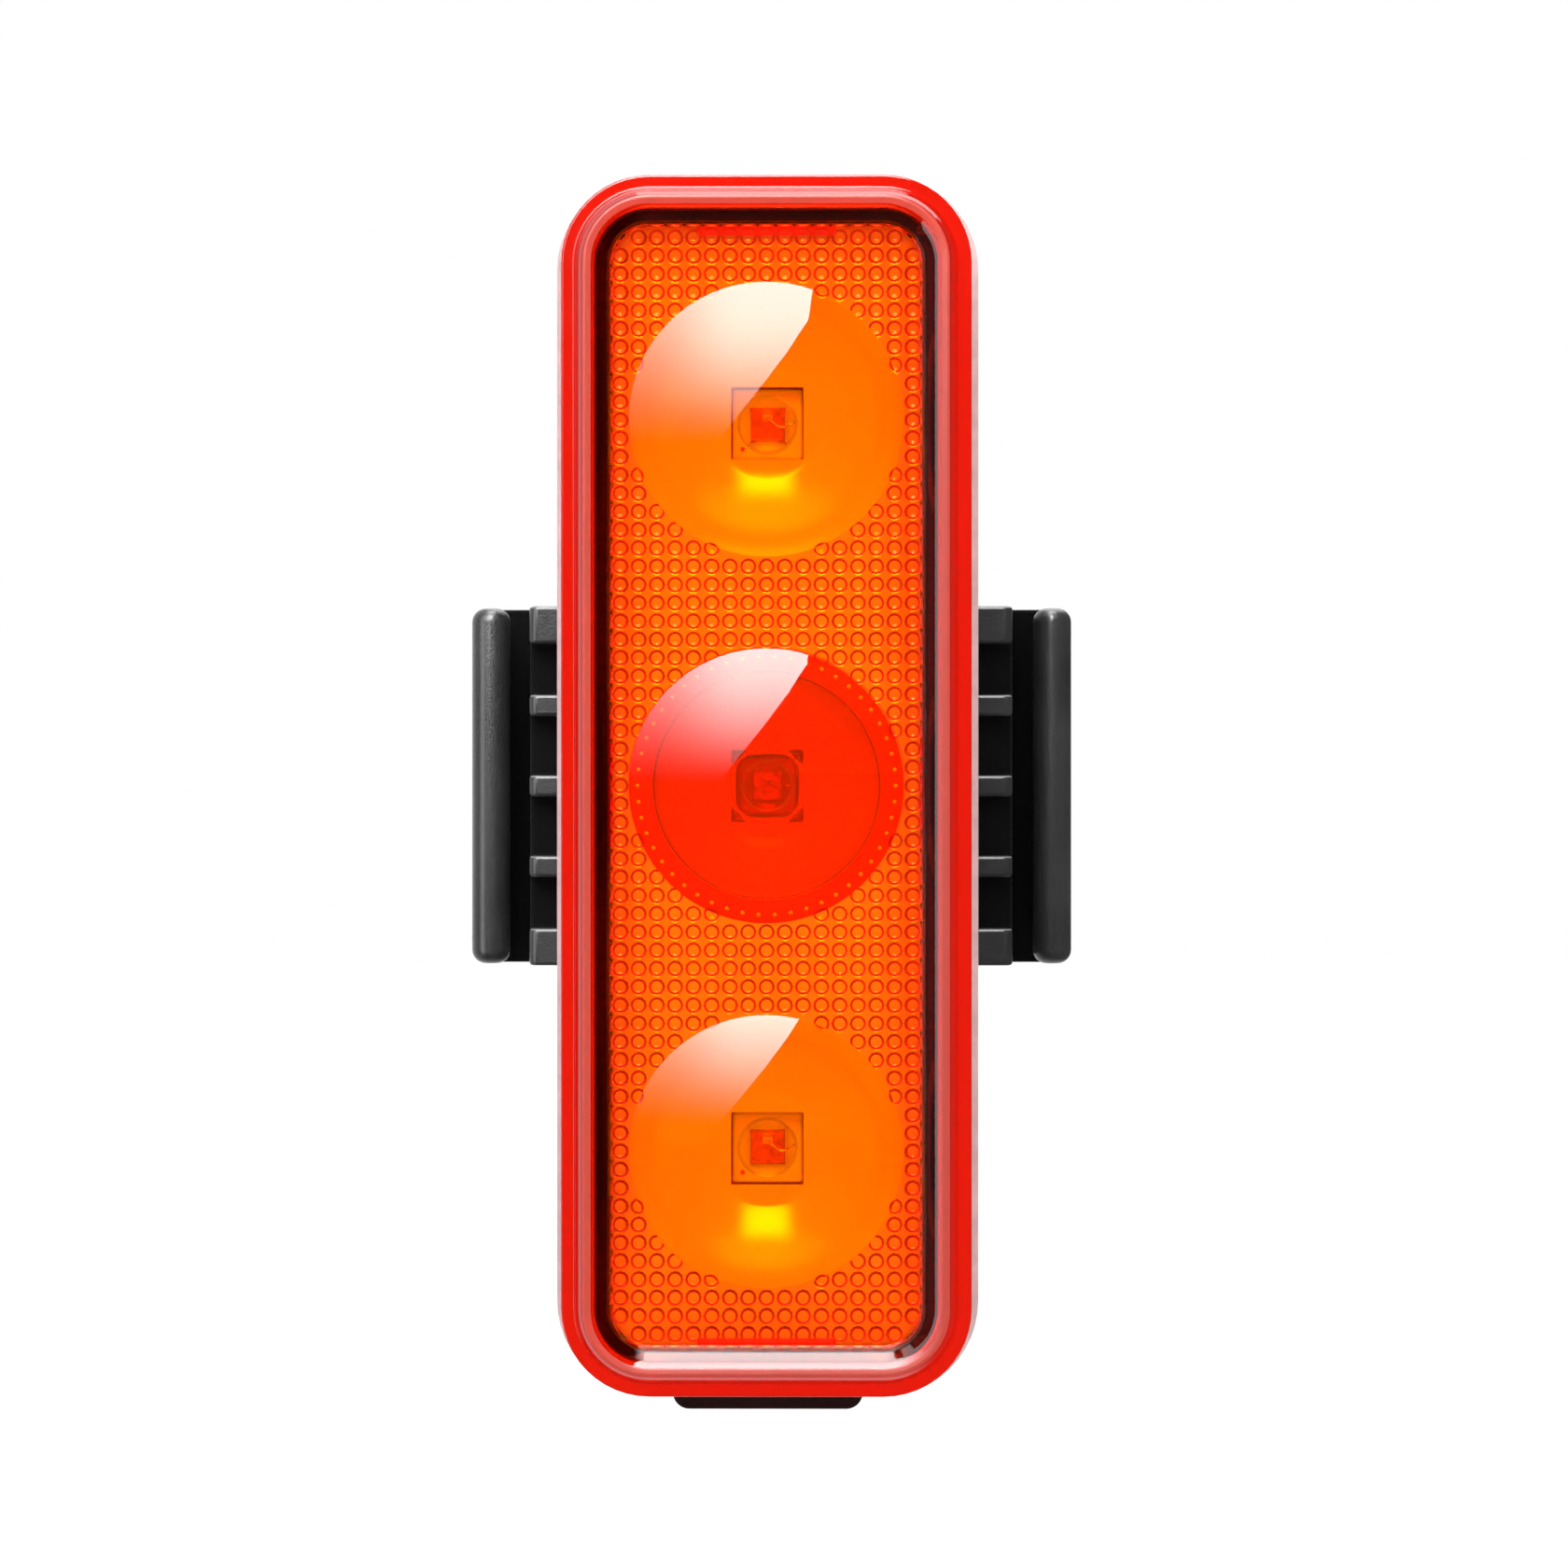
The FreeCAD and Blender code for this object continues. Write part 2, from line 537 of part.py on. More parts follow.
def rear_housing():
    """Black frame between the lens and the back cover, with screw bosses and board ledges."""
    outer = slab(body_outline(HOUSING_INSET, HOUSING_FRONT_Y), COVER_FRONT_Y)
    inner = slab(body_outline(HOUSING_INSET + HOUSING_WALL, HOUSING_FRONT_Y), COVER_FRONT_Y)
    room = inner
    shape = outer.cut(room)
    bosses = [rod_y(BOSS_R, x, z, LAMP_BOARD_BACK_Y, COVER_FRONT_Y).common(room) for x, z in boss_places()]
    ledges = []
    for side in (-1, 1):
        x0, x1 = sorted((side * (WALL_IN_X - LEDGE_W), side * (WALL_IN_X + 0.1)))
        ledges.append(box(x0, x1, MAIN_FRONT_Y - LEDGE_T, MAIN_FRONT_Y, LEDGE_SHORT - BOARD_HALF_H,
                           BOARD_HALF_H - LEDGE_SHORT))
    tongue_in = LENS_WALL + FIT_GAP + lens_lean(TONGUE_H)
    tongue_y = HOUSING_FRONT_Y - TONGUE_H
    tongue = slab(body_outline(tongue_in, tongue_y), LAMP_BOARD_BACK_Y)
    tongue = tongue.cut(slab(body_outline(tongue_in + TONGUE_T, tongue_y), LAMP_BOARD_BACK_Y))
    shape = join([shape, tongue] + bosses + ledges)
    for x, z in boss_places():
        shape = shape.cut(rod_y(SCREW_R + SCREW_GAP, x, z, COVER_FRONT_Y - SCREW_L, COVER_FRONT_Y + 1))
    shape = shape.cut(seal_path(SEAL_IN, SEAL_T))
    shape = shape.cut(stadium_z(BUTTON_W + 2 * BUTTON_GAP, BUTTON_D + 2 * BUTTON_GAP, BUTTON_Y,
                                WALL_IN_Z - 0.5, HOUSING_TOP + 1))
    port_w = USB_W / 2 + PORT_GAP
    port_t = USB_T / 2 + PORT_GAP
    shape = shape.cut(box(-port_w, port_w, PORT_Y - port_t, PORT_Y + port_t,
                          -HOUSING_TOP - 1, -WALL_IN_Z + 0.5))
    return shape.cut(rod_z(PEG_R + FIT_GAP, 0, PEG_Y, -HOUSING_TOP - 1, -HOUSING_TOP + PEG_L))


def housing_screws():
    """Four screws that hold the back cover on."""
    screws = []
    head_y = COVER_BACK_Y - HEAD_RECESS
    for x, z in boss_places():
        head = rod_y(SCREW_HEAD_R, x, z, head_y, head_y + SCREW_HEAD_T)
        slot = box(x - SCREW_HEAD_R, x + SCREW_HEAD_R, head_y + SCREW_HEAD_T * 0.5, head_y + SCREW_HEAD_T + 1,
                   z - SCREW_SLOT_W / 2, z + SCREW_SLOT_W / 2)
        cross = box(x - SCREW_SLOT_W / 2, x + SCREW_SLOT_W / 2, head_y + SCREW_HEAD_T * 0.5,
                    head_y + SCREW_HEAD_T + 1, z - SCREW_HEAD_R, z + SCREW_HEAD_R)
        keep = rod_y(DRIVE_R, x, z, head_y, head_y + SCREW_HEAD_T + 1)
        head = head.cut(slot.fuse(cross).common(keep))
        shank = rod_y(SCREW_R, x, z, COVER_FRONT_Y - SCREW_L + SCREW_TIP_GAP, head_y)
        screws.append(join([head, shank]))
    return Part.makeCompound(screws)


def lens_cover():
    """Clear red cover: drafted side wall, flange, raised rim, recessed panel and three domes."""
    rim_in = LENS_DRAFT + FLANGE_W
    crest_in = rim_in + CREST_SHARE * RIM_W
    shoulder = (rim_in + SHOULDER_SHARE * RIM_W, CREST_Y + RIM_H / 4)
    outer = stack([(0, HOUSING_FRONT_Y), (LENS_DRAFT, FLANGE_Y), (rim_in, FLANGE_Y - FLANGE_RISE), shoulder,
                   (crest_in - CREST_FLAT / 2, CREST_Y)])
    foot = (PANEL_IN - SHOULDER_SHARE * RIM_W, PANEL_Y - RECESS_D / 4)
    recess = stack([(crest_in + CREST_FLAT / 2, CREST_Y - FIT_GAP), foot, (PANEL_IN, PANEL_Y)])
    shape = outer.cut(recess)
    inner = stack([(LENS_WALL, HOUSING_FRONT_Y), (LENS_WALL + LENS_DRAFT, PANEL_BACK_Y)])
    shape = shape.cut(inner)
    ball_r = (DOME_R ** 2 + DOME_H ** 2) / (2 * DOME_H)
    for z in LAMP_Z:
        ball = Part.makeSphere(ball_r, V(0, PANEL_Y - DOME_H + ball_r, z))
        cap = ball.common(rod_y(DOME_R, 0, z, PANEL_Y - DOME_H - 1, PANEL_Y + PANEL_T * 0.5))
        shape = shape.fuse(cap)
    return shape.removeSplitter()


def lens_lean(depth):
    """How far the lens's inner wall leans in at a depth from its open edge."""
    return LENS_DRAFT * depth / (HOUSING_FRONT_Y - PANEL_BACK_Y)


def optics_outline(gap, y):
    """Outline of what fits inside the housing's tongue."""
    inset = LENS_WALL + FIT_GAP + lens_lean(TONGUE_H) + TONGUE_T + gap
    return outline(BODY_W / 2 - inset, BODY_H / 2 - inset, BOARD_R, y)


def reflector():
    """Bright plate with two cups and a seat for the middle lamp's collimator."""
    plate = slab(optics_outline(REFLECTOR_EDGE_GAP, REFLECTOR_Y), LAMP_BOARD_Y)
    foot_y = LAMP_BOARD_Y - CUP_FLOOR_T - LED_T
    depth = foot_y - REFLECTOR_Y
    middle_r = CUP_FOOT_R + (CUP_MOUTH_R - CUP_FOOT_R) * CUP_MID_SHARE
    rings = ((CUP_MOUTH_R, REFLECTOR_Y), (middle_r, REFLECTOR_Y + depth * 0.5), (CUP_FOOT_R, foot_y))
    for z in (LAMP_Z[0], LAMP_Z[2]):
        wires = []
        for radius, y in rings:
            wires.append(Part.Wire(Part.makeCircle(radius, V(0, y, z), Y_AXIS)))
        plate = plate.cut(Part.makeLoft(wires, True, True))
        half = LED_SIDE / 2 + WINDOW_GAP
        plate = plate.cut(box(-half, half, REFLECTOR_Y, LAMP_BOARD_Y + 1, z - half, z + half))
    plate = plate.cut(rod_y(TIR_FLANGE_R + FIT_GAP, 0, 0, REFLECTOR_Y - 1, REFLECTOR_Y + TIR_FLANGE_T))
    plate = plate.cut(rod_y(TIR_R, 0, 0, REFLECTOR_Y, LAMP_BOARD_Y + 1))
    hole_y = LAMP_BOARD_Y - BOARD_SCREW_L
    for z in board_screw_levels():
        plate = plate.cut(rod_y(BOARD_SCREW_R + SCREW_GAP, 0, z, hole_y, LAMP_BOARD_Y + 1))
    return plate


def board_screw_levels():
    """Heights of the two screws between the lamps."""
    return [LAMP_PITCH / 2, -LAMP_PITCH / 2]


def collimator_lens():
    """Clear collimator over the middle lamp, a cone under a flat flange."""
    foot_y = LAMP_BOARD_Y - LED_T - CUP_FLOOR_T
    flange = rod_y(TIR_FLANGE_R, 0, 0, REFLECTOR_Y, REFLECTOR_Y + TIR_FLANGE_T)
    top_y = REFLECTOR_Y + TIR_FLANGE_T
    cone = Part.makeCone(TIR_R - TIR_CONE_GAP, TIR_FOOT_R, foot_y - top_y, V(0, top_y, 0), Y_AXIS)
    shape = join([flange, cone])
    return shape.cut(rod_y(TIR_CAVITY_R, 0, 0, foot_y - TIR_CAVITY_D, foot_y + 1))


def led_board():
    """Aluminium board that carries the three lamps."""
    board = slab(optics_outline(BOARD_EDGE_GAP, LAMP_BOARD_Y), LAMP_BOARD_BACK_Y)
    for z in board_screw_levels():
        board = board.cut(rod_y(BOARD_SCREW_R + SCREW_GAP, 0, z, LAMP_BOARD_Y - 1, LAMP_BOARD_BACK_Y + 1))
    return board


def led_packages():
    """Ceramic base of each lamp."""
    half = LED_SIDE / 2
    return Part.makeCompound([box(-half, half, LAMP_BOARD_Y - LED_T, LAMP_BOARD_Y, z - half, z + half)
                              for z in LAMP_Z])


def led_dies():
    """Emitting chip on each lamp's base."""
    half = DIE_SIDE / 2
    y1 = LAMP_BOARD_Y - LED_T
    return Part.makeCompound([box(-half, half, y1 - DIE_T, y1, z - half, z + half) for z in LAMP_Z])


def led_domes():
    """Clear dome moulded over each chip."""
    domes = []
    y1 = LAMP_BOARD_Y - LED_T
    half = DIE_SIDE / 2
    for z in LAMP_Z:
        ball = Part.makeSphere(LED_DOME_R, V(0, y1, z))
        front = ball.cut(rod_y(2 * LED_DOME_R, 0, z, y1, y1 + 2 * LED_DOME_R))
        domes.append(front.cut(box(-half, half, y1 - DIE_T, y1 + 1, z - half, z + half)))
    return Part.makeCompound(domes)


def board_screws():
    """Two screws from behind the lamp board into the reflector."""
    screws = []
    y0 = LAMP_BOARD_BACK_Y
    for z in board_screw_levels():
        head = rod_y(BOARD_SCREW_HEAD_R, 0, z, y0, y0 + BOARD_SCREW_HEAD_T)
        shank = rod_y(BOARD_SCREW_R, 0, z, LAMP_BOARD_Y - BOARD_SCREW_L + SCREW_TIP_GAP, y0)
        screws.append(join([head, shank]))
    return Part.makeCompound(screws)


def main_board():
    """Control board with narrow ends that pass between the screw bosses."""
    wide = box(-WALL_IN_X + BOARD_EDGE_GAP, WALL_IN_X - BOARD_EDGE_GAP, MAIN_FRONT_Y, MAIN_BACK_Y,
               -BOARD_HALF_H, BOARD_HALF_H)
    half = MAIN_BOARD_NECK_W / 2
    low = MAIN_BOARD_BOTTOM_ROOM - WALL_IN_Z
    neck = box(-half, half, MAIN_FRONT_Y, MAIN_BACK_Y, low, MAIN_BOARD_TOP)
    return join([wide, neck])


def board_header():
    """Connector block between the two boards."""
    half = HEADER_W / 2
    low = LOW_PARTS_Z - HEADER_H / 2
    return box(-half, half, LAMP_BOARD_BACK_Y, MAIN_FRONT_Y, low, low + HEADER_H)


def on_board(x, z, width, height, thickness):
    """Square component that lies on the back of the main board."""
    low = z - height / 2
    return box(x - width / 2, x + width / 2, MAIN_BACK_Y, MAIN_BACK_Y + thickness, low, low + height)


def board_chips():
    """Controller, charger and two capacitors."""
    x = -CHIP_SIDE / 2 - CHIP_SPACE
    return Part.makeCompound([
        on_board(x, LOW_PARTS_Z, CHIP_SIDE, CHIP_SIDE, CHIP_T),
        on_board(x - CHIP_SIDE / 2 - CHARGER_W / 2 - CHIP_SPACE, LOW_PARTS_Z, CHARGER_W, CHARGER_H, CHIP_T),
        on_board(0, LOW_PARTS_Z - CAPACITOR_H * 0.7, CAPACITOR_W, CAPACITOR_H, CHIP_T),
        on_board(0, LOW_PARTS_Z + CAPACITOR_H * 0.7, CAPACITOR_W, CAPACITOR_H, CHIP_T)])


def inductor():
    """Coil of the lamp driver in its square case."""
    case = on_board(INDUCTOR_SIDE / 2 + 2 * CHIP_SPACE, LOW_PARTS_Z, INDUCTOR_SIDE, INDUCTOR_SIDE, INDUCTOR_T)
    return case.makeChamfer(INDUCTOR_CHAMFER, [e for e in case.Edges if e.BoundBox.YLength > 1])


def status_led():
    """Charge indicator lamp on the main board."""
    return on_board(PIPE_X, PIPE_Z, STATUS_LED_W, STATUS_LED_W * 0.6, STATUS_LED_T)


def status_light_pipe():
    """Clear rod that takes the indicator's light to the back cover."""
    y0 = MAIN_BACK_Y + STATUS_LED_T + FIT_GAP
    rod = rod_y(PIPE_R, PIPE_X, PIPE_Z, y0, COVER_BACK_Y)
    collar = rod_y(PIPE_COLLAR_R, PIPE_X, PIPE_Z, COVER_FRONT_Y - PIPE_COLLAR_T, COVER_FRONT_Y)
    return join([rod, collar])


def usb_connector():
    """Steel shell of the charging socket, open at the bottom."""
    half_w = USB_W / 2
    shell = box(-half_w, half_w, MAIN_BACK_Y, MAIN_BACK_Y + USB_T, PORT_BOTTOM, PORT_BOTTOM + USB_L)
    room = box(-half_w + USB_SHELL, half_w - USB_SHELL, MAIN_BACK_Y + USB_SHELL,
               MAIN_BACK_Y + USB_T - USB_SHELL, PORT_BOTTOM - 1, PORT_BOTTOM + USB_L - USB_SHELL)
    return shell.cut(room)


def usb_tongue():
    """Contact tongue inside the socket."""
    half = USB_TONGUE_W / 2
    return box(-half, half, PORT_Y - USB_TONGUE_T / 2, PORT_Y + USB_TONGUE_T / 2,
               PORT_BOTTOM + USB_TONGUE_IN, PORT_BOTTOM + USB_L - USB_SHELL)


def tactile_switch():
    """Switch body at the top of the main board, bored for its plunger."""
    body = box(-SWITCH_W / 2, SWITCH_W / 2, MAIN_BACK_Y, MAIN_BACK_Y + SWITCH_T,
               SWITCH_TOP - SWITCH_L, SWITCH_TOP)
    bore_depth = PLUNGER_IN + BUTTON_TRAVEL + 0.3
    return body.cut(rod_z(PLUNGER_R + PLUNGER_GAP, 0, plunger_y(), SWITCH_TOP - bore_depth, SWITCH_TOP + 1))


def plunger_y():
    """Depth of the switch plunger's axis."""
    return MAIN_BACK_Y + SWITCH_T / 2


def button_stem_bottom():
    """Where the button's stem meets the plunger, clear of the switch when pressed."""
    return SWITCH_TOP + BUTTON_TRAVEL + BUTTON_CLEAR


def switch_plunger():
    """Plunger that the button pushes into the switch."""
    return rod_z(PLUNGER_R, 0, plunger_y(), SWITCH_TOP - PLUNGER_IN, button_stem_bottom())


def power_button():
    """Rubber button in the top of the housing, with a lip that keeps it in."""
    cap = stadium_z(BUTTON_W, BUTTON_D, BUTTON_Y, BUTTON_LIP_TOP - BUTTON_LIP_T, HOUSING_TOP + BUTTON_PROUD)
    rim = [e for e in cap.Edges if abs(e.BoundBox.ZMin - HOUSING_TOP - BUTTON_PROUD) < 1e-6]
    cap = cap.makeFillet(BUTTON_EDGE_R, rim)
    lip = stadium_z(BUTTON_W + 2 * BUTTON_LIP, BUTTON_D + 2 * BUTTON_LIP, BUTTON_Y,
                    BUTTON_LIP_TOP - BUTTON_LIP_T, BUTTON_LIP_TOP)
    stem = rod_z(BUTTON_STEM_R, 0, plunger_y(), button_stem_bottom(), BUTTON_LIP_TOP)
    return join([cap, lip, stem])


def battery_cell():
    """Flat lithium cell behind the main board."""
    cell = box(-CELL_W / 2, CELL_W / 2, CELL_FRONT_Y, CELL_BACK_Y, CELL_BOTTOM, CELL_TOP)
    return cell.makeFillet(CELL_R, [e for e in cell.Edges if e.BoundBox.ZLength > 1])


def battery_pad():
    """Foam that presses the cell against the board when the cover is on."""
    half = CELL_W / 2 - FOAM_INSET
    return box(-half, half, CELL_BACK_Y, COVER_FRONT_Y, CELL_BOTTOM + FOAM_INSET, CELL_TOP - FOAM_INSET)


def battery_tabs():
    """Two nickel strips from the cell to the board."""
    tabs = []
    for x in (-TAB_X, TAB_X):
        tabs.append(box(x - TAB_W / 2, x + TAB_W / 2, CELL_FRONT_Y, CELL_FRONT_Y + TAB_T,
                        CELL_BOTTOM - TAB_L, CELL_BOTTOM))
    return Part.makeCompound(tabs)


def usb_cover():
    """Rubber flap under the charging port, with its plug and folding strip."""
    half = FLAP_W / 2
    bottom = FLAP_TOP - FLAP_T
    flap = box(-half, half, FLAP_FRONT_Y, FLAP_BACK_Y, bottom, FLAP_TOP)
    corners = [e for e in flap.Edges if e.BoundBox.YLength > 1 and abs(e.BoundBox.ZMin - bottom) < 1e-6]
    flap = flap.makeFillet(FLAP_R, corners)
    strip = box(-ANCHOR_W / 2, ANCHOR_W / 2, FLAP_BACK_Y - 0.2, FOLD_Y, FLAP_TOP - STRIP_T, FLAP_TOP)
    fold = rod_x(STRIP_T / 2, FOLD_Y, FOLD_Z, -ANCHOR_W / 2, ANCHOR_W / 2)
    plug_w = USB_W / 2 + PORT_GAP - PLUG_GAP
    plug_t = USB_T / 2 + PORT_GAP - PLUG_GAP
    plug_top = FLAP_TOP + PLUG_H
    slim = PLUG_GAP
    plug = extrude_yz([(PORT_Y - plug_t, FLAP_TOP - 0.2), (PORT_Y - plug_t, FLAP_TOP),
                       (PORT_Y - plug_t + slim, min(plug_top, PORT_BOTTOM - FIT_GAP)),
                       (PORT_Y + plug_t - slim, min(plug_top, PORT_BOTTOM - FIT_GAP)),
                       (PORT_Y + plug_t, FLAP_TOP), (PORT_Y + plug_t, FLAP_TOP - 0.2)], -plug_w, plug_w)
    return join([flap, strip, fold, plug])


def usb_cover_anchor():
    """Fixed end of the flap's strip, pegged into the housing."""
    base = box(-ANCHOR_W / 2, ANCHOR_W / 2, ANCHOR_Y, ANCHOR_Y + ANCHOR_L, FLAP_TOP - STRIP_T, -HOUSING_TOP)
    peg = rod_z(PEG_R, 0, PEG_Y, -HOUSING_TOP - 0.1, -HOUSING_TOP + PEG_L - FIT_GAP)
    return join([base, peg])


NODES = {
    "bracket_body": bracket_body,
    "bracket_pad": bracket_pad,
    "latch_pin": latch_pin,
    "latch_spring": latch_spring,
    "latch_lever": latch_lever,
    "back_cover": back_cover,
    "back_gasket": back_gasket,
    "rear_housing": rear_housing,
    "housing_screws": housing_screws,
    "lens_cover": lens_cover,
    "reflector": reflector,
    "collimator_lens": collimator_lens,
    "led_board": led_board,
    "led_packages": led_packages,
    "led_dies": led_dies,
    "led_domes": led_domes,
    "board_screws": board_screws,
    "main_board": main_board,
    "board_header": board_header,
    "board_chips": board_chips,
    "inductor": inductor,
    "status_led": status_led,
    "status_light_pipe": status_light_pipe,
    "usb_connector": usb_connector,
    "usb_tongue": usb_tongue,
    "tactile_switch": tactile_switch,
    "switch_plunger": switch_plunger,
    "power_button": power_button,
    "battery_cell": battery_cell,
    "battery_pad": battery_pad,
    "battery_tabs": battery_tabs,
    "usb_cover": usb_cover,
    "usb_cover_anchor": usb_cover_anchor,
}


def main():
    """Build every node and write its STEP file."""
    os.makedirs("parts", exist_ok=True)
    for name, make in NODES.items():
        shape = make()
        shape.exportStep("parts/" + name + ".step")
        size = shape.BoundBox
        print(f"{name:20s} solids {len(shape.Solids)} valid {shape.isValid()} volume {shape.Volume:9.2f} "
              f"x {size.XMin:7.2f} {size.XMax:7.2f} y {size.YMin:7.2f} {size.YMax:7.2f} "
              f"z {size.ZMin:7.2f} {size.ZMax:7.2f}")
    print(f"latch pivot y {LATCH_PIVOT_Y:.3f} z {LATCH_PIVOT_Z:.3f}")
    print(f"flap fold y {FOLD_Y:.3f} z {FOLD_Z:.3f}")


main()
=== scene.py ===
"""Looks of a rechargeable bicycle tail light on its seatpost bracket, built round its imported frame."""

import logging
import math
from collections.abc import Iterable
from dataclasses import dataclass
from enum import Enum, IntEnum
from functools import lru_cache

import bmesh
import bpy
from mathutils import Matrix, Vector


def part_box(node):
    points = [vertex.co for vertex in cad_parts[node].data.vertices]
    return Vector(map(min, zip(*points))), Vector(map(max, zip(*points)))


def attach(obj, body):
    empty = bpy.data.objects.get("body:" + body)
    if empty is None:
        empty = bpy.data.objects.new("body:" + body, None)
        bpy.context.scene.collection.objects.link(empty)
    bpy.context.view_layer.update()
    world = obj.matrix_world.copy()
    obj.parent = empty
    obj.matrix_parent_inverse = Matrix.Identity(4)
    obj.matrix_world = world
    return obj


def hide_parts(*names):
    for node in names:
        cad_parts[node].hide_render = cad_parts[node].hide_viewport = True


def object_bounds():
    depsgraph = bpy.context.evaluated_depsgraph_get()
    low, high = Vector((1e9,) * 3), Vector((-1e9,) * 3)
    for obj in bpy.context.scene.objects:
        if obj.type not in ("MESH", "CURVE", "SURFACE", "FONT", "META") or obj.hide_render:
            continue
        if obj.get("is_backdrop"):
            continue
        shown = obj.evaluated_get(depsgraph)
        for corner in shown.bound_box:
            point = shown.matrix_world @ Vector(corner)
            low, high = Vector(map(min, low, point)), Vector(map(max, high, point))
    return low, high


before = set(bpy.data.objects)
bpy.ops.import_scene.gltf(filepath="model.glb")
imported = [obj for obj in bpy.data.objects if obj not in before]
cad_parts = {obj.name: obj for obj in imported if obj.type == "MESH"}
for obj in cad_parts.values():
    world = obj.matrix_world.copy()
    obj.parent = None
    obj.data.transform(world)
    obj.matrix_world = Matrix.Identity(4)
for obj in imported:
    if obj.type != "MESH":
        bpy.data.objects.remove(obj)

MM = 0.001
# How far from a rounded corner, in reaches of its curve, the flat sides beside it start.
FLAT_MARGIN = 1.2
# A profile's radius that closes it onto the axis, in millimetres.
ON_AXIS = 1e-6
LEAST_ROUGHNESS = 0.02
# Edges that turn by more than the first are rounded, and what turns by more than the second stays crisp.
ROUNDED_DEG = 38.0
CRISP_DEG = 34.0
FACE_WEIGHT = 90
WHITE = (1.0, 1.0, 1.0, 1.0)
Point = tuple[float, float]
Colour = tuple[float, float, float]
Mesh = bpy.types.Mesh
Piece = bpy.types.Object
Socket = bpy.types.NodeSocket
Ring = list[bmesh.types.BMVert]
log = logging.getLogger("tail_light")


class Slot(Enum):
    """Material slots of the record."""

    RED_LENS = "red_lens"
    CASE = "case_black"
    BRACKET = "bracket_black"
    LATCH = "latch_black"
    RUBBER = "black_rubber"
    REFLECTOR = "reflector_bright"
    RED_OPTIC = "red_optic"
    CLEAR = "clear_plastic"
    LAMP_BOARD = "lamp_board"
    CERAMIC = "lamp_ceramic"
    DIE = "lamp_die"
    BOARD = "board_green"
    COMPONENT = "component_black"
    FERRITE = "ferrite"
    STEEL = "steel"
    CELL = "foil_cell"
    FOAM = "foam"


class Body(Enum):
    """Bodies of the frame."""

    BRACKET = "bracket"
    LATCH = "latch"
    LIGHT = "light"
    BUTTON = "button"
    FLAP = "port_flap"


class Zone(IntEnum):
    """Material indices of the lens cover."""

    BACK = 0
    PIP = 1
    SATIN = 2
    EDGE = 3
    PANEL = 4
    SKIRT = 5


class NodeTree:
    """Short hand for adding and linking nodes."""

    def __init__(self, tree: bpy.types.NodeTree) -> None:
        """Works on the given tree, which is emptied.

        Args:
            tree: the material, world or geometry tree.
        """
        self.tree = tree
        tree.nodes.clear()

    def add(self, kind: str, inputs: dict | None = None, **settings: object) -> bpy.types.Node:
        """Adds a node.

        Args:
            kind: the node's type name.
            inputs: what each input, by name or number, is linked to or set to.
            settings: properties of the node itself.

        Returns:
            The node.
        """
        node = self.tree.nodes.new(kind)
        for key, value in settings.items():
            setattr(node, key, value)
        for key, value in (inputs or {}).items():
            socket = self.pick(node.inputs, key)
            if isinstance(value, Socket):
                self.tree.links.new(value, socket)
            else:
                socket.default_value = value
        return node

    def made(self, kind: str, inputs: dict | None = None, **settings: object) -> Socket:
        """Adds a node and returns its first output."""
        return self.add(kind, inputs, **settings).outputs[0]

    def pick(self, sockets: bpy.types.bpy_prop_collection, key: str | int) -> Socket:
        """The socket at a number, or the one in use under a name.

        Args:
            sockets: a node's inputs or outputs.
            key: its number or name.

        Returns:
            The socket.
        """
        if isinstance(key, int):
            return sockets[key]
        return next(socket for socket in sockets if socket.name == key and socket.enabled)

    def smooth(self, value: Socket, start: float, end: float) -> Socket:
        """Rises smoothly from 0 at start to 1 at end."""
        inputs = {"Value": value, "From Min": start, "From Max": end}
        return self.made("ShaderNodeMapRange", inputs, interpolation_type="SMOOTHSTEP")

    def math(self, operation: str, *operands: object) -> Socket:
        """Adds a Math node on sockets or numbers and returns its result."""
        return self.made("ShaderNodeMath", dict(enumerate(operands)), operation=operation)

    def span(self, across: Socket, up: Socket) -> Socket:
        """How far the point (across, up) is from the origin."""
        squares = [self.math("MULTIPLY", side, side) for side in (across, up)]
        return self.math("SQRT", self.math("ADD", *squares))

    def axes(self, where: Socket) -> bpy.types.bpy_prop_collection:
        """The X, Y and Z of a vector."""
        return self.add("ShaderNodeSeparateXYZ", {0: where}).outputs

    def noise(self, where: Socket, grain_mm: float, detail: float = 2.0) -> Socket:
        """Noise whose features are about grain_mm across, from 0 to 1."""
        inputs = {"Vector": where, "Scale": 1.0 / (grain_mm * MM), "Detail": detail}
        return self.add("ShaderNodeTexNoise", inputs).outputs["Fac"]

    def ranged(self, value: Socket, low: float, high: float) -> Socket:
        """Maps the middle of a noise, 0.3 to 0.7, to a range."""
        inputs = {"Value": value, "From Min": 0.3, "From Max": 0.7, "To Min": low, "To Max": high}
        return self.made("ShaderNodeMapRange", inputs)

    def blend(self, share: object, first: object, second: object) -> Socket:
        """Mixes two colours and returns the result's socket."""
        node = self.add("ShaderNodeMix", {0: share, 6: first, 7: second}, data_type="RGBA")
        return node.outputs[2]

    def seen(self) -> Socket:
        """1 for what the camera sees, by itself or through glass."""
        rays = self.add("ShaderNodeLightPath").outputs
        return self.math("MAXIMUM", rays["Is Camera Ray"], rays["Is Transmission Ray"])

    def show(self, first: Socket, second: Socket) -> None:
        """Shows two shaders added together as the material's surface."""
        both = self.made("ShaderNodeAddShader", {0: first, 1: second})
        self.add("ShaderNodeOutputMaterial", {"Surface": both})


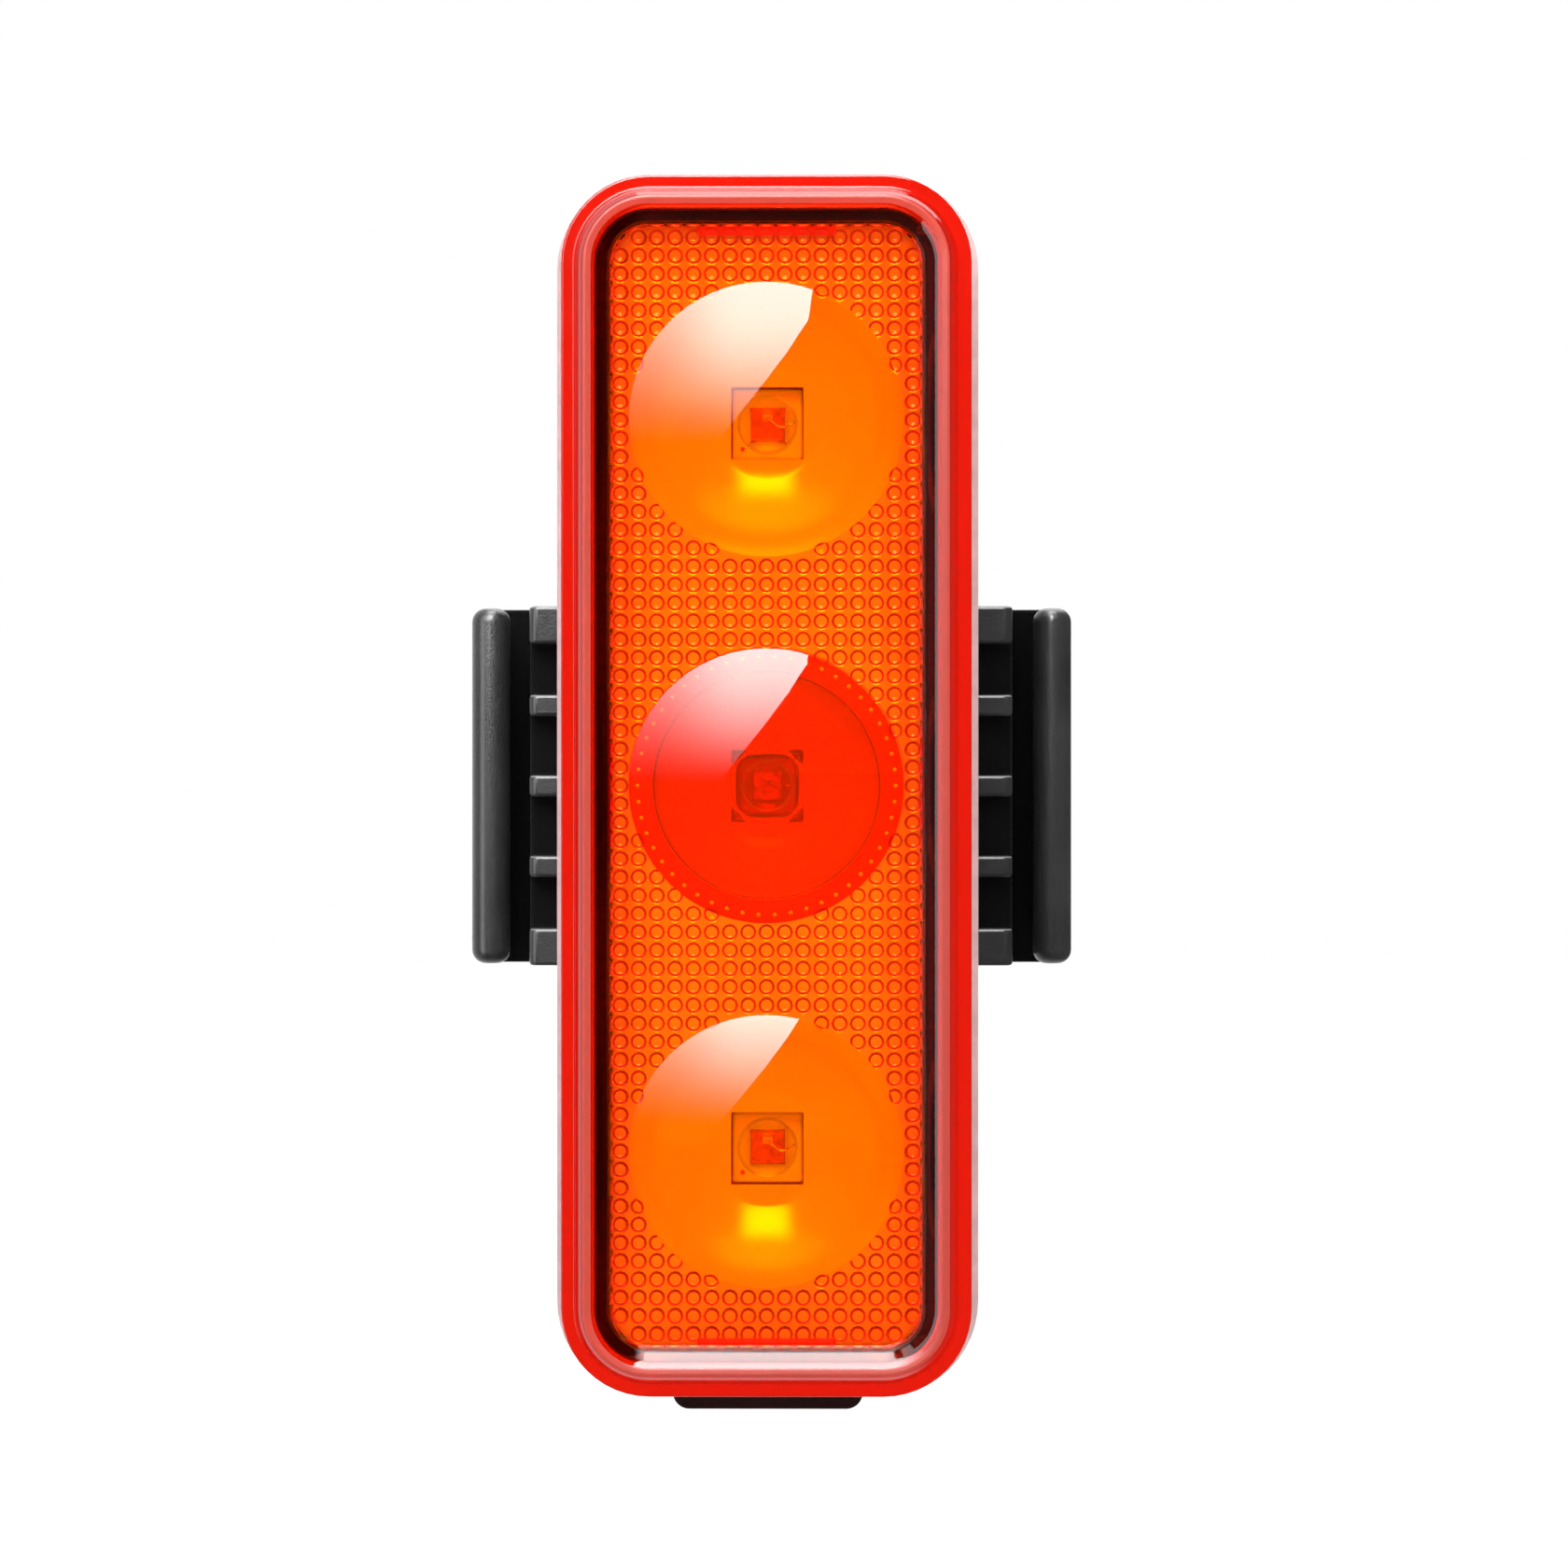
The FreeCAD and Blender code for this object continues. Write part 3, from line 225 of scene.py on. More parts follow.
class Surface(NodeTree):
    """The nodes of a material, with its shader and the place that its patterns read."""

    def __init__(self, material: bpy.types.Material, fixed: dict[str, object]) -> None:
        """Starts with a Principled shader and object coordinates.

        Args:
            material: the material, whose nodes are made anew.
            fixed: what is the same all over the surface, by socket.
        """
        material.use_nodes = True
        super().__init__(material.node_tree)
        self.shader = self.add("ShaderNodeBsdfPrincipled", fixed)
        self.add("ShaderNodeOutputMaterial", {"Surface": self.shader.outputs[0]})
        self.where = self.add("ShaderNodeTexCoord").outputs["Object"]

    def feed(self, name: str, value: Socket) -> None:
        """Links a value to one of the shader's inputs."""
        self.tree.links.new(value, self.shader.inputs[name])


def opaque(colour: Iterable[float]) -> tuple[float, ...]:
    """The colour with an alpha of 1."""
    return (*colour, 1.0)


@dataclass(frozen=True)
class Finish:
    """An opaque surface: its colour and gloss, and the fine relief that the mould left."""

    name: str
    slot: Slot
    colour: Colour
    roughness: float = 0.45
    metallic: float = 0.0
    grain_mm: float = 0.22
    relief: float = 0.12
    relief_mm: float = 0.02
    mottle: float = 0.12
    mottle_mm: float = 6.0
    gloss_spread: float = 0.08
    specular: float = 0.5
    coat: float = 0.0
    coat_roughness: float = 0.08

    def material(self) -> bpy.types.Material:
        """The material, made once."""
        return made_material(self)

    def shade(self, side: float) -> tuple[float, ...]:
        """The colour, darker for -1 and lighter for 1 by the mottle."""
        return opaque(min(1.0, c * (1.0 + side * self.mottle)) for c in self.colour)

    def dress(self, surface: Surface) -> None:
        """Adds what varies over the surface: mottle, gloss and relief.

        Args:
            surface: the material's nodes.
        """
        fine = surface.noise(surface.where, self.grain_mm, 3.0)
        broad = surface.ranged(surface.noise(surface.where, self.mottle_mm, 3.0), 0.0, 1.0)
        surface.feed("Base Color", surface.blend(broad, self.shade(-1.0), self.shade(1.0)))
        self.gloss(surface, fine)
        self.emboss(surface, fine)

    def gloss(self, surface: Surface, pattern: Socket) -> None:
        """Spreads the roughness by a pattern."""
        low = max(LEAST_ROUGHNESS, self.roughness - self.gloss_spread)
        surface.feed("Roughness", surface.ranged(pattern, low, self.roughness + self.gloss_spread))

    def emboss(self, surface: Surface, height: Socket) -> None:
        """Raises the surface by a height map."""
        inputs = {"Height": height, "Strength": self.relief, "Distance": self.relief_mm * MM}
        surface.feed("Normal", surface.made("ShaderNodeBump", inputs))

    def fixed(self) -> dict[str, float]:
        """What is the same all over the surface, by socket."""
        return {"Metallic": self.metallic, "Specular IOR Level": self.specular,
                "Coat Weight": self.coat, "Coat Roughness": self.coat_roughness}


@dataclass(frozen=True)
class ClearFinish(Finish):
    """A clear or tinted plastic that light passes through."""

    roughness: float = 0.015
    grain_mm: float = 1.5
    relief: float = 0.0
    clear: float = 1.0
    refraction: float = 1.49
    haze_spread: float = 0.4

    def fixed(self) -> dict[str, object]:
        """What is the same all over the surface, by socket."""
        return {"Base Color": opaque(self.colour), "Transmission Weight": self.clear, "IOR": self.refraction}

    def dress(self, surface: Surface) -> None:
        """Adds a faint haze.

        Args:
            surface: the material's nodes.
        """
        low, high = (self.roughness * (1.0 + side * self.haze_spread) for side in (-1, 1))
        haze = surface.noise(surface.where, self.grain_mm)
        surface.feed("Roughness", surface.ranged(haze, low, high))


@dataclass(frozen=True)
class EdgeShaded(Finish):
    """A bright plate with painted shade: its colour turns red towards its sides and ends, where the side walls
    shade it.
    """

    edge_shade: Colour = (0.93, 0.32, 0.2)
    side_mm: Point = (5.5, 10.5)
    end_mm: Point = (26.0, 37.0)

    def dress(self, surface: Surface) -> None:
        """Adds the painted shade, a red that grows towards the sides and ends.

        Args:
            surface: the material's nodes.
        """
        super().dress(surface)
        plain = surface.shader.inputs["Base Color"].links[0].from_socket
        place = surface.axes(surface.where)
        # Painted shade: the nearer a side or an end, the redder the plate.
        shares = [surface.smooth(surface.math("ABSOLUTE", place[axis]), near * MM, far * MM)
                  for axis, (near, far) in ((0, self.side_mm), (2, self.end_mm))]
        share = surface.math("MAXIMUM", *shares)
        surface.feed("Base Color", surface.blend(share, plain, opaque(self.edge_shade)))


@dataclass(frozen=True)
class TracedBoard(Finish):
    """Solder mask with copper tracks under it."""

    track_mm: float = 1.3
    track_share: float = 0.55
    mask: Colour = (0.01, 0.16, 0.05)
    mask_gloss: Point = (0.2, 0.36)

    def dress(self, surface: Surface) -> None:
        """Adds the tracks, a shade lighter than the mask, and the mask's gloss.

        Args:
            surface: the material's nodes.
        """
        inputs = {"Vector": surface.where, "Scale": 1.0 / (self.track_mm * MM)}
        cells = surface.add("ShaderNodeTexVoronoi", inputs, distance="MANHATTAN", feature="F1")
        edge = surface.math("GREATER_THAN", cells.outputs["Distance"], self.track_share)
        surface.feed("Base Color", surface.blend(edge, opaque(self.mask), opaque(self.colour)))
        fine = surface.noise(surface.where, self.grain_mm)
        surface.feed("Roughness", surface.ranged(fine, *self.mask_gloss))
        self.emboss(surface, edge)


@dataclass(frozen=True)
class BrushedMetal(Finish):
    """Metal or foil with fine lines drawn one way."""

    stretch: Colour = (1.0, 1.0, 0.05)

    def dress(self, surface: Surface) -> None:
        """Adds the drawn lines to colour, gloss and relief.

        Args:
            surface: the material's nodes.
        """
        drawn = surface.made("ShaderNodeMapping", {"Vector": surface.where, "Scale": self.stretch})
        lines = surface.noise(drawn, self.grain_mm, 4.0)
        share = surface.ranged(lines, 0.0, 1.0)
        surface.feed("Base Color", surface.blend(share, self.shade(-1.0), self.shade(0.0)))
        self.gloss(surface, lines)
        self.emboss(surface, lines)


@lru_cache(maxsize=None)
def made_material(finish: Finish) -> bpy.types.Material:
    """Makes a finish's material, once.

    Args:
        finish: the finish.

    Returns:
        The material.
    """
    material = bpy.data.materials.new(finish.name)
    finish.dress(Surface(material, finish.fixed()))
    return material


RED_LENS = ClearFinish("clear_red_acrylic", Slot.RED_LENS, (1.0, 0.31, 0.0))
RED_PANEL = ClearFinish("clear_red_panel", Slot.RED_LENS, (0.97, 0.32, 0.07))
RED_EDGE = ClearFinish("deep_red_acrylic", Slot.RED_LENS, (1.0, 0.05, 0.004), roughness=0.02)
RED_SKIRT = ClearFinish("bright_red_acrylic", Slot.RED_LENS, (1.0, 0.018, 0.006), roughness=0.06, clear=0.3)
# The rim's crest: real satin gloss, with painted sheen in its pale salmon colour standing in for the
# reflection on the crest.
RED_RIM = ClearFinish("satin_red_acrylic_painted_sheen", Slot.RED_LENS, (0.97, 0.14, 0.1), roughness=0.3, clear=0.5,
                      grain_mm=0.12, haze_spread=0.05)
# Rough pip walls whose opaque dark red is painted shade: the dark ring that each pip's steep edge shows.
PIP_EDGE = Finish("frosted_pip_wall_painted_shade", Slot.RED_LENS, (0.62, 0.012, 0.0), roughness=0.4, relief=0.0)
TAB_RED = Finish("tab_red", Slot.RED_LENS, (0.95, 0.03, 0.005), roughness=0.4, mottle=0.1, mottle_mm=1.2,
                 specular=0.2)
WELD_PALE = Finish("pale_weld", Slot.RED_LENS, (0.86, 0.76, 0.77), roughness=0.45, mottle=0.1,
                   mottle_mm=1.2)
RED_OPTIC = ClearFinish("collimator_red", Slot.RED_OPTIC, (1.0, 0.13, 0.015), roughness=0.12,
                        refraction=1.14, clear=0.93, grain_mm=0.22)
FLANGE_RED = Finish("collimator_flange_red", Slot.RED_OPTIC, (0.9, 0.005, 0.002), roughness=0.5,
                    mottle=0.1, specular=0.1)
CLEAR = ClearFinish("clear_acrylic", Slot.CLEAR, (0.97, 0.97, 0.97), roughness=0.03, grain_mm=0.22)
SILICONE = ClearFinish("lamp_silicone", Slot.CLEAR, (0.98, 0.97, 0.95), roughness=0.03, refraction=1.41,
                       grain_mm=0.22)
SILVER = Finish("bright_silver", Slot.REFLECTOR, (0.93, 0.92, 0.89), roughness=0.2, metallic=0.45,
                relief=0.0, mottle=0.03, gloss_spread=0.03)
# The reflector plate, with painted shade that reddens it towards its sides and ends.
PLATE = EdgeShaded("satin_silver_edge_shaded", Slot.REFLECTOR, (0.93, 0.92, 0.89), roughness=0.2, metallic=0.45,
                   relief=0.03, relief_mm=0.01, mottle=0.03, gloss_spread=0.03)
BRACKET = Finish("bracket_nylon", Slot.BRACKET, (0.042, 0.042, 0.043), roughness=0.42, grain_mm=0.16,
                 relief=0.5, relief_mm=0.05, mottle=0.3, gloss_spread=0.12, coat=0.5)
# Painted highlight: a pale grey finish on the ribs' top edges, in place of the gloss that catches the overhead
# light.
EDGE_HIGHLIGHT = Finish("bracket_painted_edge_highlight", Slot.BRACKET, (0.5, 0.5, 0.5), roughness=0.3, grain_mm=0.2, mottle=0.2)
# Painted shade: a near-black finish for the floors of the bracket's hollows.
HOLLOW_SHADE = Finish("bracket_hollow_painted_shade", Slot.BRACKET, (0.006, 0.006, 0.006), roughness=0.8, grain_mm=0.2,
                specular=0.08)
COLLAR = Finish("collar_black", Slot.CASE, (0.008, 0.002, 0.001), roughness=0.6, mottle=0.2, specular=0.1)
CASE = Finish("case_nylon", Slot.CASE, (0.016, 0.016, 0.017), roughness=0.4, grain_mm=0.18, relief=0.25,
              relief_mm=0.03, mottle=0.25)
LATCH = Finish("latch_acetal", Slot.LATCH, (0.02, 0.02, 0.021), roughness=0.33, grain_mm=0.25,
               relief=0.15, mottle=0.2)
# Black rubber with painted reflection: its red tint stands in for the red that the lens reflects onto the
# flap.
FLAP_RUBBER = Finish("flap_rubber_painted_red_reflection", Slot.RUBBER, (0.02, 0.005, 0.004), roughness=0.6, grain_mm=0.12,
                     relief=0.4, relief_mm=0.03, mottle=0.3, specular=0.2)
RUBBER = Finish("soft_rubber", Slot.RUBBER, (0.02, 0.019, 0.019), roughness=0.62, grain_mm=0.12,
                relief=0.4, relief_mm=0.03, mottle=0.3, specular=0.35)
LAMP_BOARD = Finish("lamp_board_dark", Slot.LAMP_BOARD, (0.7, 0.05, 0.03), roughness=0.35, mottle=0.1)
CERAMIC = Finish("lamp_ceramic_white", Slot.CERAMIC, (0.86, 0.83, 0.76), roughness=0.3, mottle=0.05,
                 grain_mm=0.1)
# Painted light and shade: the middle lamp's white ceramic coloured dark red, as it looks lit only through the
# red collimator.
SHADED_CERAMIC = Finish("lamp_ceramic_painted_red_light", Slot.CERAMIC, (0.42, 0.01, 0.005), roughness=0.4, mottle=0.05,
                        grain_mm=0.1)
DIE = Finish("lamp_die_red", Slot.DIE, (0.75, 0.06, 0.03), roughness=0.2, mottle=0.3, mottle_mm=0.25,
             grain_mm=0.08)
GOLD = Finish("bond_gold", Slot.DIE, (0.9, 0.62, 0.3), roughness=0.22, metallic=1.0, grain_mm=0.1)
BOARD = TracedBoard("solder_mask", Slot.BOARD, (0.03, 0.26, 0.09), relief=0.3, relief_mm=0.03, grain_mm=0.4)
COMPONENT = Finish("moulded_component", Slot.COMPONENT, (0.02, 0.02, 0.021), roughness=0.5, grain_mm=0.08)
FERRITE = Finish("sintered_ferrite", Slot.FERRITE, (0.07, 0.068, 0.065), roughness=0.6, grain_mm=0.1,
                 relief=0.3)
STEEL = BrushedMetal("turned_steel", Slot.STEEL, (0.62, 0.62, 0.63), roughness=0.26, metallic=1.0,
                     grain_mm=0.15, gloss_spread=0.06, relief=0.08)
CELL = BrushedMetal("foil_pouch", Slot.CELL, (0.68, 0.69, 0.71), roughness=0.34, metallic=0.9,
                    grain_mm=0.5, gloss_spread=0.08, relief=0.2)
FOAM = Finish("grey_foam", Slot.FOAM, (0.09, 0.09, 0.1), roughness=0.9, grain_mm=0.35, relief=0.8,
              relief_mm=0.2, mottle=0.3, mottle_mm=1.0)

PLAIN_NODES: dict[str, Finish] = {
    "back_gasket": RUBBER, "battery_pad": FOAM, "battery_cell": CELL, "battery_tabs": STEEL,
    "board_chips": COMPONENT, "board_header": COMPONENT, "board_screws": STEEL, "inductor": FERRITE,
    "latch_pin": STEEL, "latch_spring": STEEL, "led_board": LAMP_BOARD, "main_board": BOARD,
    "status_led": CERAMIC, "status_light_pipe": CLEAR, "switch_plunger": COMPONENT,
    "tactile_switch": COMPONENT, "usb_connector": STEEL, "usb_cover_anchor": RUBBER,
    "usb_tongue": COMPONENT,
}


def box_mm(node: str) -> tuple[Vector, Vector]:
    """A node's lowest and highest corner, in millimetres."""
    low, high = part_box(node)
    return low / MM, high / MM


def lamp_heights() -> tuple[float, float, float]:
    """Heights of the three square lamps' middles, in millimetres.

    Returns:
        The heights, from the lowest up.
    """
    low, high = box_mm("led_packages")
    pitch = (high.z - low.z - (high.x - low.x)) / 2
    return (-pitch, 0.0, pitch)


def quarter(steps: int) -> list[float]:
    """Angles from nothing to a right angle."""
    return [math.pi / 2 * step / steps for step in range(steps + 1)]


def rounded_outline(half_w: float, half_h: float, radius: float, steps: int) -> list[Point]:
    """Points of a rounded rectangle, anticlockwise from the right.

    Args:
        half_w: half its width.
        half_h: half its height.
        radius: its corners' radius.
        steps: segments in each corner.

    Returns:
        Points as (across, up).
    """
    points = []
    for side_x, side_z, start in ((1, 1, 0.0), (-1, 1, 90.0), (-1, -1, 180.0), (1, -1, 270.0)):
        for step in range(steps + 1):
            angle = math.radians(start + 90.0 * step / steps)
            points.append((side_x * (half_w - radius) + radius * math.cos(angle),
                           side_z * (half_h - radius) + radius * math.sin(angle)))
    return points


def circle(radius: float, count: int, centre: Point = (0.0, 0.0)) -> list[Point]:
    """Points round a circle, anticlockwise from the right."""
    turns = [2.0 * math.pi * number / count for number in range(count)]
    return [(centre[0] + radius * math.cos(t), centre[1] + radius * math.sin(t)) for t in turns]


def softened(points: list[Point], radii: Iterable[float], steps: int = 4) -> list[Point]:
    """A run of straight lines with its inner corners rounded.

    Args:
        points: the corners.
        radii: how far from each inner corner its curve starts.
        steps: segments in each curve.

    Returns:
        The points of the rounded run.
    """
    result = [Vector(points[0])]
    for before, corner, after, reach in zip(points, points[1:], points[2:], radii):
        here = Vector(corner)
        back = (Vector(before) - here).normalized() * reach
        ahead = (Vector(after) - here).normalized() * reach
        result.append(here + back * FLAT_MARGIN)
        for step in range(steps + 1):
            t = step / steps
            result.append((here + back) * (1 - t) ** 2 + here * 2 * t * (1 - t) + (here + ahead) * t ** 2)
        result.append(here + ahead * FLAT_MARGIN)
    return [(spot.x, spot.y) for spot in result + [Vector(points[-1])]]


class Shell:
    """A mesh under construction, in millimetres."""

    def __init__(self) -> None:
        """Starts empty."""
        self.bm = bmesh.new()

    def ring(self, points: Iterable[Point], y: float) -> Ring:
        """Adds vertices at (x, z) points in a plane of constant Y."""
        return [self.bm.verts.new((x, y, z)) for x, z in points]

    def bridge(self, first: Ring, second: Ring, material: int = 0) -> None:
        """Joins two closed rings of as many vertices with quads.

        Args:
            first: one ring.
            second: the other.
            material: index of the quads' material.
        """
        for number, (a, b) in enumerate(zip(first, second)):
            following = (number + 1) % len(first)
            face = self.bm.faces.new((a, first[following], second[following], b))
            face.material_index = material

    def join(self, rings: list[Ring], material: int = 0, closed: bool = False) -> None:
        """Bridges each ring to the next.

        Args:
            rings: the rings.
            material: index of the faces' material.
            closed: True to bridge the last to the first as well.
        """
        for first, second in zip(rings, rings[1:] + (rings[:1] if closed else [])):
            self.bridge(first, second, material)

    def fan(self, ring: Ring, tip: tuple[float, float, float], material: int = 0) -> None:
        """Closes a ring onto a point.

        Args:
            ring: the ring.
            tip: the point.
            material: index of the faces' material.
        """
        centre = self.bm.verts.new(tip)
        for number, vert in enumerate(ring):
            face = self.bm.faces.new((vert, ring[(number + 1) % len(ring)], centre))
            face.material_index = material

    def fill(self, *rings: Ring, facing: float = -1.0, material: int = 0) -> None:
        """Fills the flat space between an outer ring and the holes in it.

        Args:
            rings: the outer ring and any holes.
            facing: sign of the Y direction that the faces look in.
            material: index of the faces' material.
        """
        edges = []
        for ring in rings:
            for ends in zip(ring, ring[1:] + ring[:1]):
                edges.append(self.bm.edges.get(ends) or self.bm.edges.new(ends))
        made = bmesh.ops.triangle_fill(self.bm, edges=edges, use_beauty=True, normal=(0.0, facing, 0.0))
        for face in made["geom"]:
            if isinstance(face, bmesh.types.BMFace):
                face.material_index = material

    def turned(self, profile: list[Point], count: int, centre: Point = (0.0, 0.0),
               material: int = 0) -> list[Ring]:
        """Sweeps a profile round an axis along Y.

        Args:
            profile: (radius, y) of each ring, where a radius of nothing closes it onto the axis.
            count: vertices in each ring.
            centre: (x, z) of the axis.
            material: index of the faces' material.

        Returns:
            The rings, without any closed end.
        """
        rings = [self.ring(circle(radius, count, centre), y) for radius, y in profile if radius > ON_AXIS]
        self.join(rings, material)
        for (radius, y), ring in ((profile[0], rings[0]), (profile[-1], rings[-1])):
            if radius <= ON_AXIS:
                self.fan(ring, (centre[0], y, centre[1]), material)
        return rings

    def block(self, low: tuple[float, float, float], high: tuple[float, float, float],
              material: int = 0) -> None:
        """Adds a closed box.

        Args:
            low: its lowest corner.
            high: its highest corner.
            material: index of the faces' material.
        """
        corners = [self.bm.verts.new((x, y, z)) for x in (low[0], high[0]) for y in (low[1], high[1])
                   for z in (low[2], high[2])]
        for face in ((0, 1, 3, 2), (4, 6, 7, 5), (0, 4, 5, 1), (2, 3, 7, 6), (0, 2, 6, 4), (1, 5, 7, 3)):
            self.bm.faces.new([corners[i] for i in face]).material_index = material

    def mesh(self, name: str, smooth_deg: float = 35.0, weld: float = 1e-4) -> Mesh:
        """Finishes the mesh, in metres, with every face turned outwards.

        Args:
            name: its name.
            smooth_deg: edges up to this turn are shaded smooth.
            weld: vertices nearer than this become one.

        Returns:
            The mesh.
        """
        bmesh.ops.remove_doubles(self.bm, verts=self.bm.verts[:], dist=weld)
        bmesh.ops.recalc_face_normals(self.bm, faces=self.bm.faces[:])
        open_edges = sum(1 for edge in self.bm.edges if len(edge.link_faces) != 2)
        if open_edges:
            log.warning("%s has %d open edges", name, open_edges)
        mesh = bpy.data.meshes.new(name)
        self.bm.to_mesh(mesh)
        self.bm.free()
        mesh.transform(Matrix.Scale(MM, 4))
        shade(mesh, smooth_deg)
        return mesh


def shade(mesh: Mesh, smooth_deg: float) -> None:
    """Shades a mesh smooth, apart from edges that turn by more than smooth_deg."""
    mesh.shade_smooth()
    mesh.set_sharp_from_angle(angle=math.radians(smooth_deg))


def stand(mesh: Mesh, y: float) -> None:
    """Turns a mesh that lies flat to face along Y, at a distance y."""
    mesh.transform(Matrix(((1, 0, 0, 0), (0, 0, 1, y), (0, 1, 0, 0), (0, 0, 0, 1))))


def link(name: str, data: bpy.types.ID) -> Piece:
    """Puts a mesh, lamp or camera into the scene.

    Args:
        name: the object's name.
        data: what it shows.

    Returns:
        The object.
    """
    thing = bpy.data.objects.new(name, data)
    bpy.context.scene.collection.objects.link(thing)
    return thing


def piece(name: str, mesh: Mesh, body: Body, *finishes: Finish, stands_for: str = "") -> Piece:
    """Adds a finished piece that rides on a body.

    Args:
        name: the piece's name.
        mesh: its mesh, in place.
        body: the body that it moves with.
        finishes: one finish for each material index, the main one first.
        stands_for: the CAD node that it replaces, if any.

    Returns:
        The piece.
    """
    mesh.name = name
    numbers = [min(face.material_index, len(finishes) - 1) for face in mesh.polygons]
    mesh.materials.clear()
    for finish in finishes:
        mesh.materials.append(finish.material())
    mesh.polygons.foreach_set("material_index", numbers)
    thing = link(name, mesh)
    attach(thing, body.value)
    if stands_for:
        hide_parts(stands_for)
    log.info("%s: %d faces on %s", name, len(mesh.polygons), body.value)
    return thing


def merged(node: str, flat_deg: float = 0.6, weld: float = 1e-7) -> Mesh:
    """A copy of a CAD node's mesh with its loose triangles merged and its flat faces whole.

    Args:
        node: the node's name.
        flat_deg: faces that turn by less than this become one.
        weld: vertices nearer than this, in metres, become one.

    Returns:
        The copy, in metres.
    """
    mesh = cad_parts[node].data.copy()
    bm = bmesh.new()
    bm.from_mesh(mesh)
    bmesh.ops.remove_doubles(bm, verts=bm.verts[:], dist=weld)
    bmesh.ops.dissolve_limit(bm, angle_limit=math.radians(flat_deg), verts=bm.verts[:], edges=bm.edges[:])
    bm.to_mesh(mesh)
    bm.free()
    return mesh


def evaluated(holder: Piece) -> Mesh:
    """The holder's mesh with its modifiers applied.

    Args:
        holder: an object, which is removed.

    Returns:
        A new mesh.
    """
    bpy.context.view_layer.update()
    graph = bpy.context.evaluated_depsgraph_get()
    result = bpy.data.meshes.new_from_object(holder.evaluated_get(graph))
    bpy.data.objects.remove(holder)
    return result


def with_modifier(mesh: Mesh, kind: str, **settings: object) -> Mesh:
    """The mesh with one modifier applied.

    Args:
        mesh: the mesh.
        kind: the modifier's type.
        settings: its settings.

    Returns:
        A new mesh.
    """
    holder = link("holder", mesh)
    modifier = holder.modifiers.new(kind.lower(), kind)
    for key, value in settings.items():
        setattr(modifier, key, value)
    return evaluated(holder)


def rounded(mesh: Mesh, width_mm: float, segments: int = 2) -> Mesh:
    """The mesh with its sharp edges rounded and its flat faces shaded flat.

    Args:
        mesh: the mesh, in metres.
        width_mm: how wide the rounding is.
        segments: faces across it.

    Returns:
        A new mesh.
    """
    soft = with_modifier(mesh, "BEVEL", width=width_mm * MM, segments=segments, limit_method="ANGLE",
                         angle_limit=math.radians(ROUNDED_DEG), use_clamp_overlap=False,
                         miter_outer="MITER_ARC")
    shade(soft, CRISP_DEG)
    return with_modifier(soft, "WEIGHTED_NORMAL", keep_sharp=True, weight=FACE_WEIGHT)


def dressed(name: str, node: str, body: Body, finish: Finish, width_mm: float, segments: int = 2) -> Piece:
    """Adds a CAD node's copy with its edges rounded.

    Args:
        name: the piece's name.
        node: the node, which it replaces.
        body: the body that it moves with.
        finish: its finish.
        width_mm: how wide the rounding is.
        segments: faces across it.

    Returns:
        The piece.
    """
    return piece(name, rounded(merged(node), width_mm, segments), body, finish, stands_for=node)


class ShapeTree(NodeTree):
    """A Geometry Nodes tree with named inputs."""

    def __init__(self, name: str) -> None:
        """Makes the tree with its input and output.

        Args:
            name: the tree's name.
        """
        super().__init__(bpy.data.node_groups.new(name, "GeometryNodeTree"))
        for way in ("INPUT", "OUTPUT"):
            self.tree.interface.new_socket("Geometry", in_out=way, socket_type="NodeSocketGeometry")
        self.start = self.add("NodeGroupInput")
        self.values: dict[str, float] = {}

    def sizes(self, **values: float) -> list[Socket]:
        """Adds named inputs.

        Args:
            values: what each input is set to.

        Returns:
            Their sockets inside the tree, in order.
        """
        for name, value in values.items():
            kind = "NodeSocketInt" if isinstance(value, int) else "NodeSocketFloat"
            socket = self.tree.interface.new_socket(name, in_out="INPUT", socket_type=kind)
            self.values[socket.identifier] = value
        return [self.start.outputs[name] for name in values]

    def joined(self, *shapes: Socket) -> Socket:
        """The shapes as one real geometry.

        Args:
            shapes: geometries or instances.

        Returns:
            The geometry.
        """
        node = self.add("GeometryNodeJoinGeometry")
        for shape in shapes:
            self.tree.links.new(shape, node.inputs[0])
        return self.made("GeometryNodeRealizeInstances", {0: node.outputs[0]})

    def spread(self, points: Socket, shape: Socket) -> Socket:
        """A shape on each point."""
        return self.made("GeometryNodeInstanceOnPoints", {"Points": points, "Instance": shape})

    def end(self, shape: Socket, finish: Finish, *parts: tuple[Socket, Finish]) -> None:
        """Ends the tree in real geometry with its materials.

        Args:
            shape: the geometry made.
            finish: its finish.
            parts: which faces have another finish, and that finish.
        """
        real = self.made("GeometryNodeRealizeInstances", {0: shape})
        painted = self.made("GeometryNodeSetMaterial", {0: real, "Material": finish.material()})
        for where, other in parts:
            inputs = {0: painted, "Selection": where, "Material": other.material()}
            painted = self.made("GeometryNodeSetMaterial", inputs)
        self.add("NodeGroupOutput", {0: painted})

    def run(self, mesh: Mesh) -> Mesh:
        """Runs the tree on a mesh.

        Args:
            mesh: what goes in.

        Returns:
            What comes out.
        """
        holder = link("shape_holder", mesh)
        modifier = holder.modifiers.new("shape", "NODES")
        modifier.node_group = self.tree
        for identifier, value in self.values.items():
            modifier[identifier] = value
        result = evaluated(holder)
        unset = sum(1 for material in result.materials if material is None)
        for face in result.polygons:
            face.material_index -= min(unset, face.material_index)
        return result


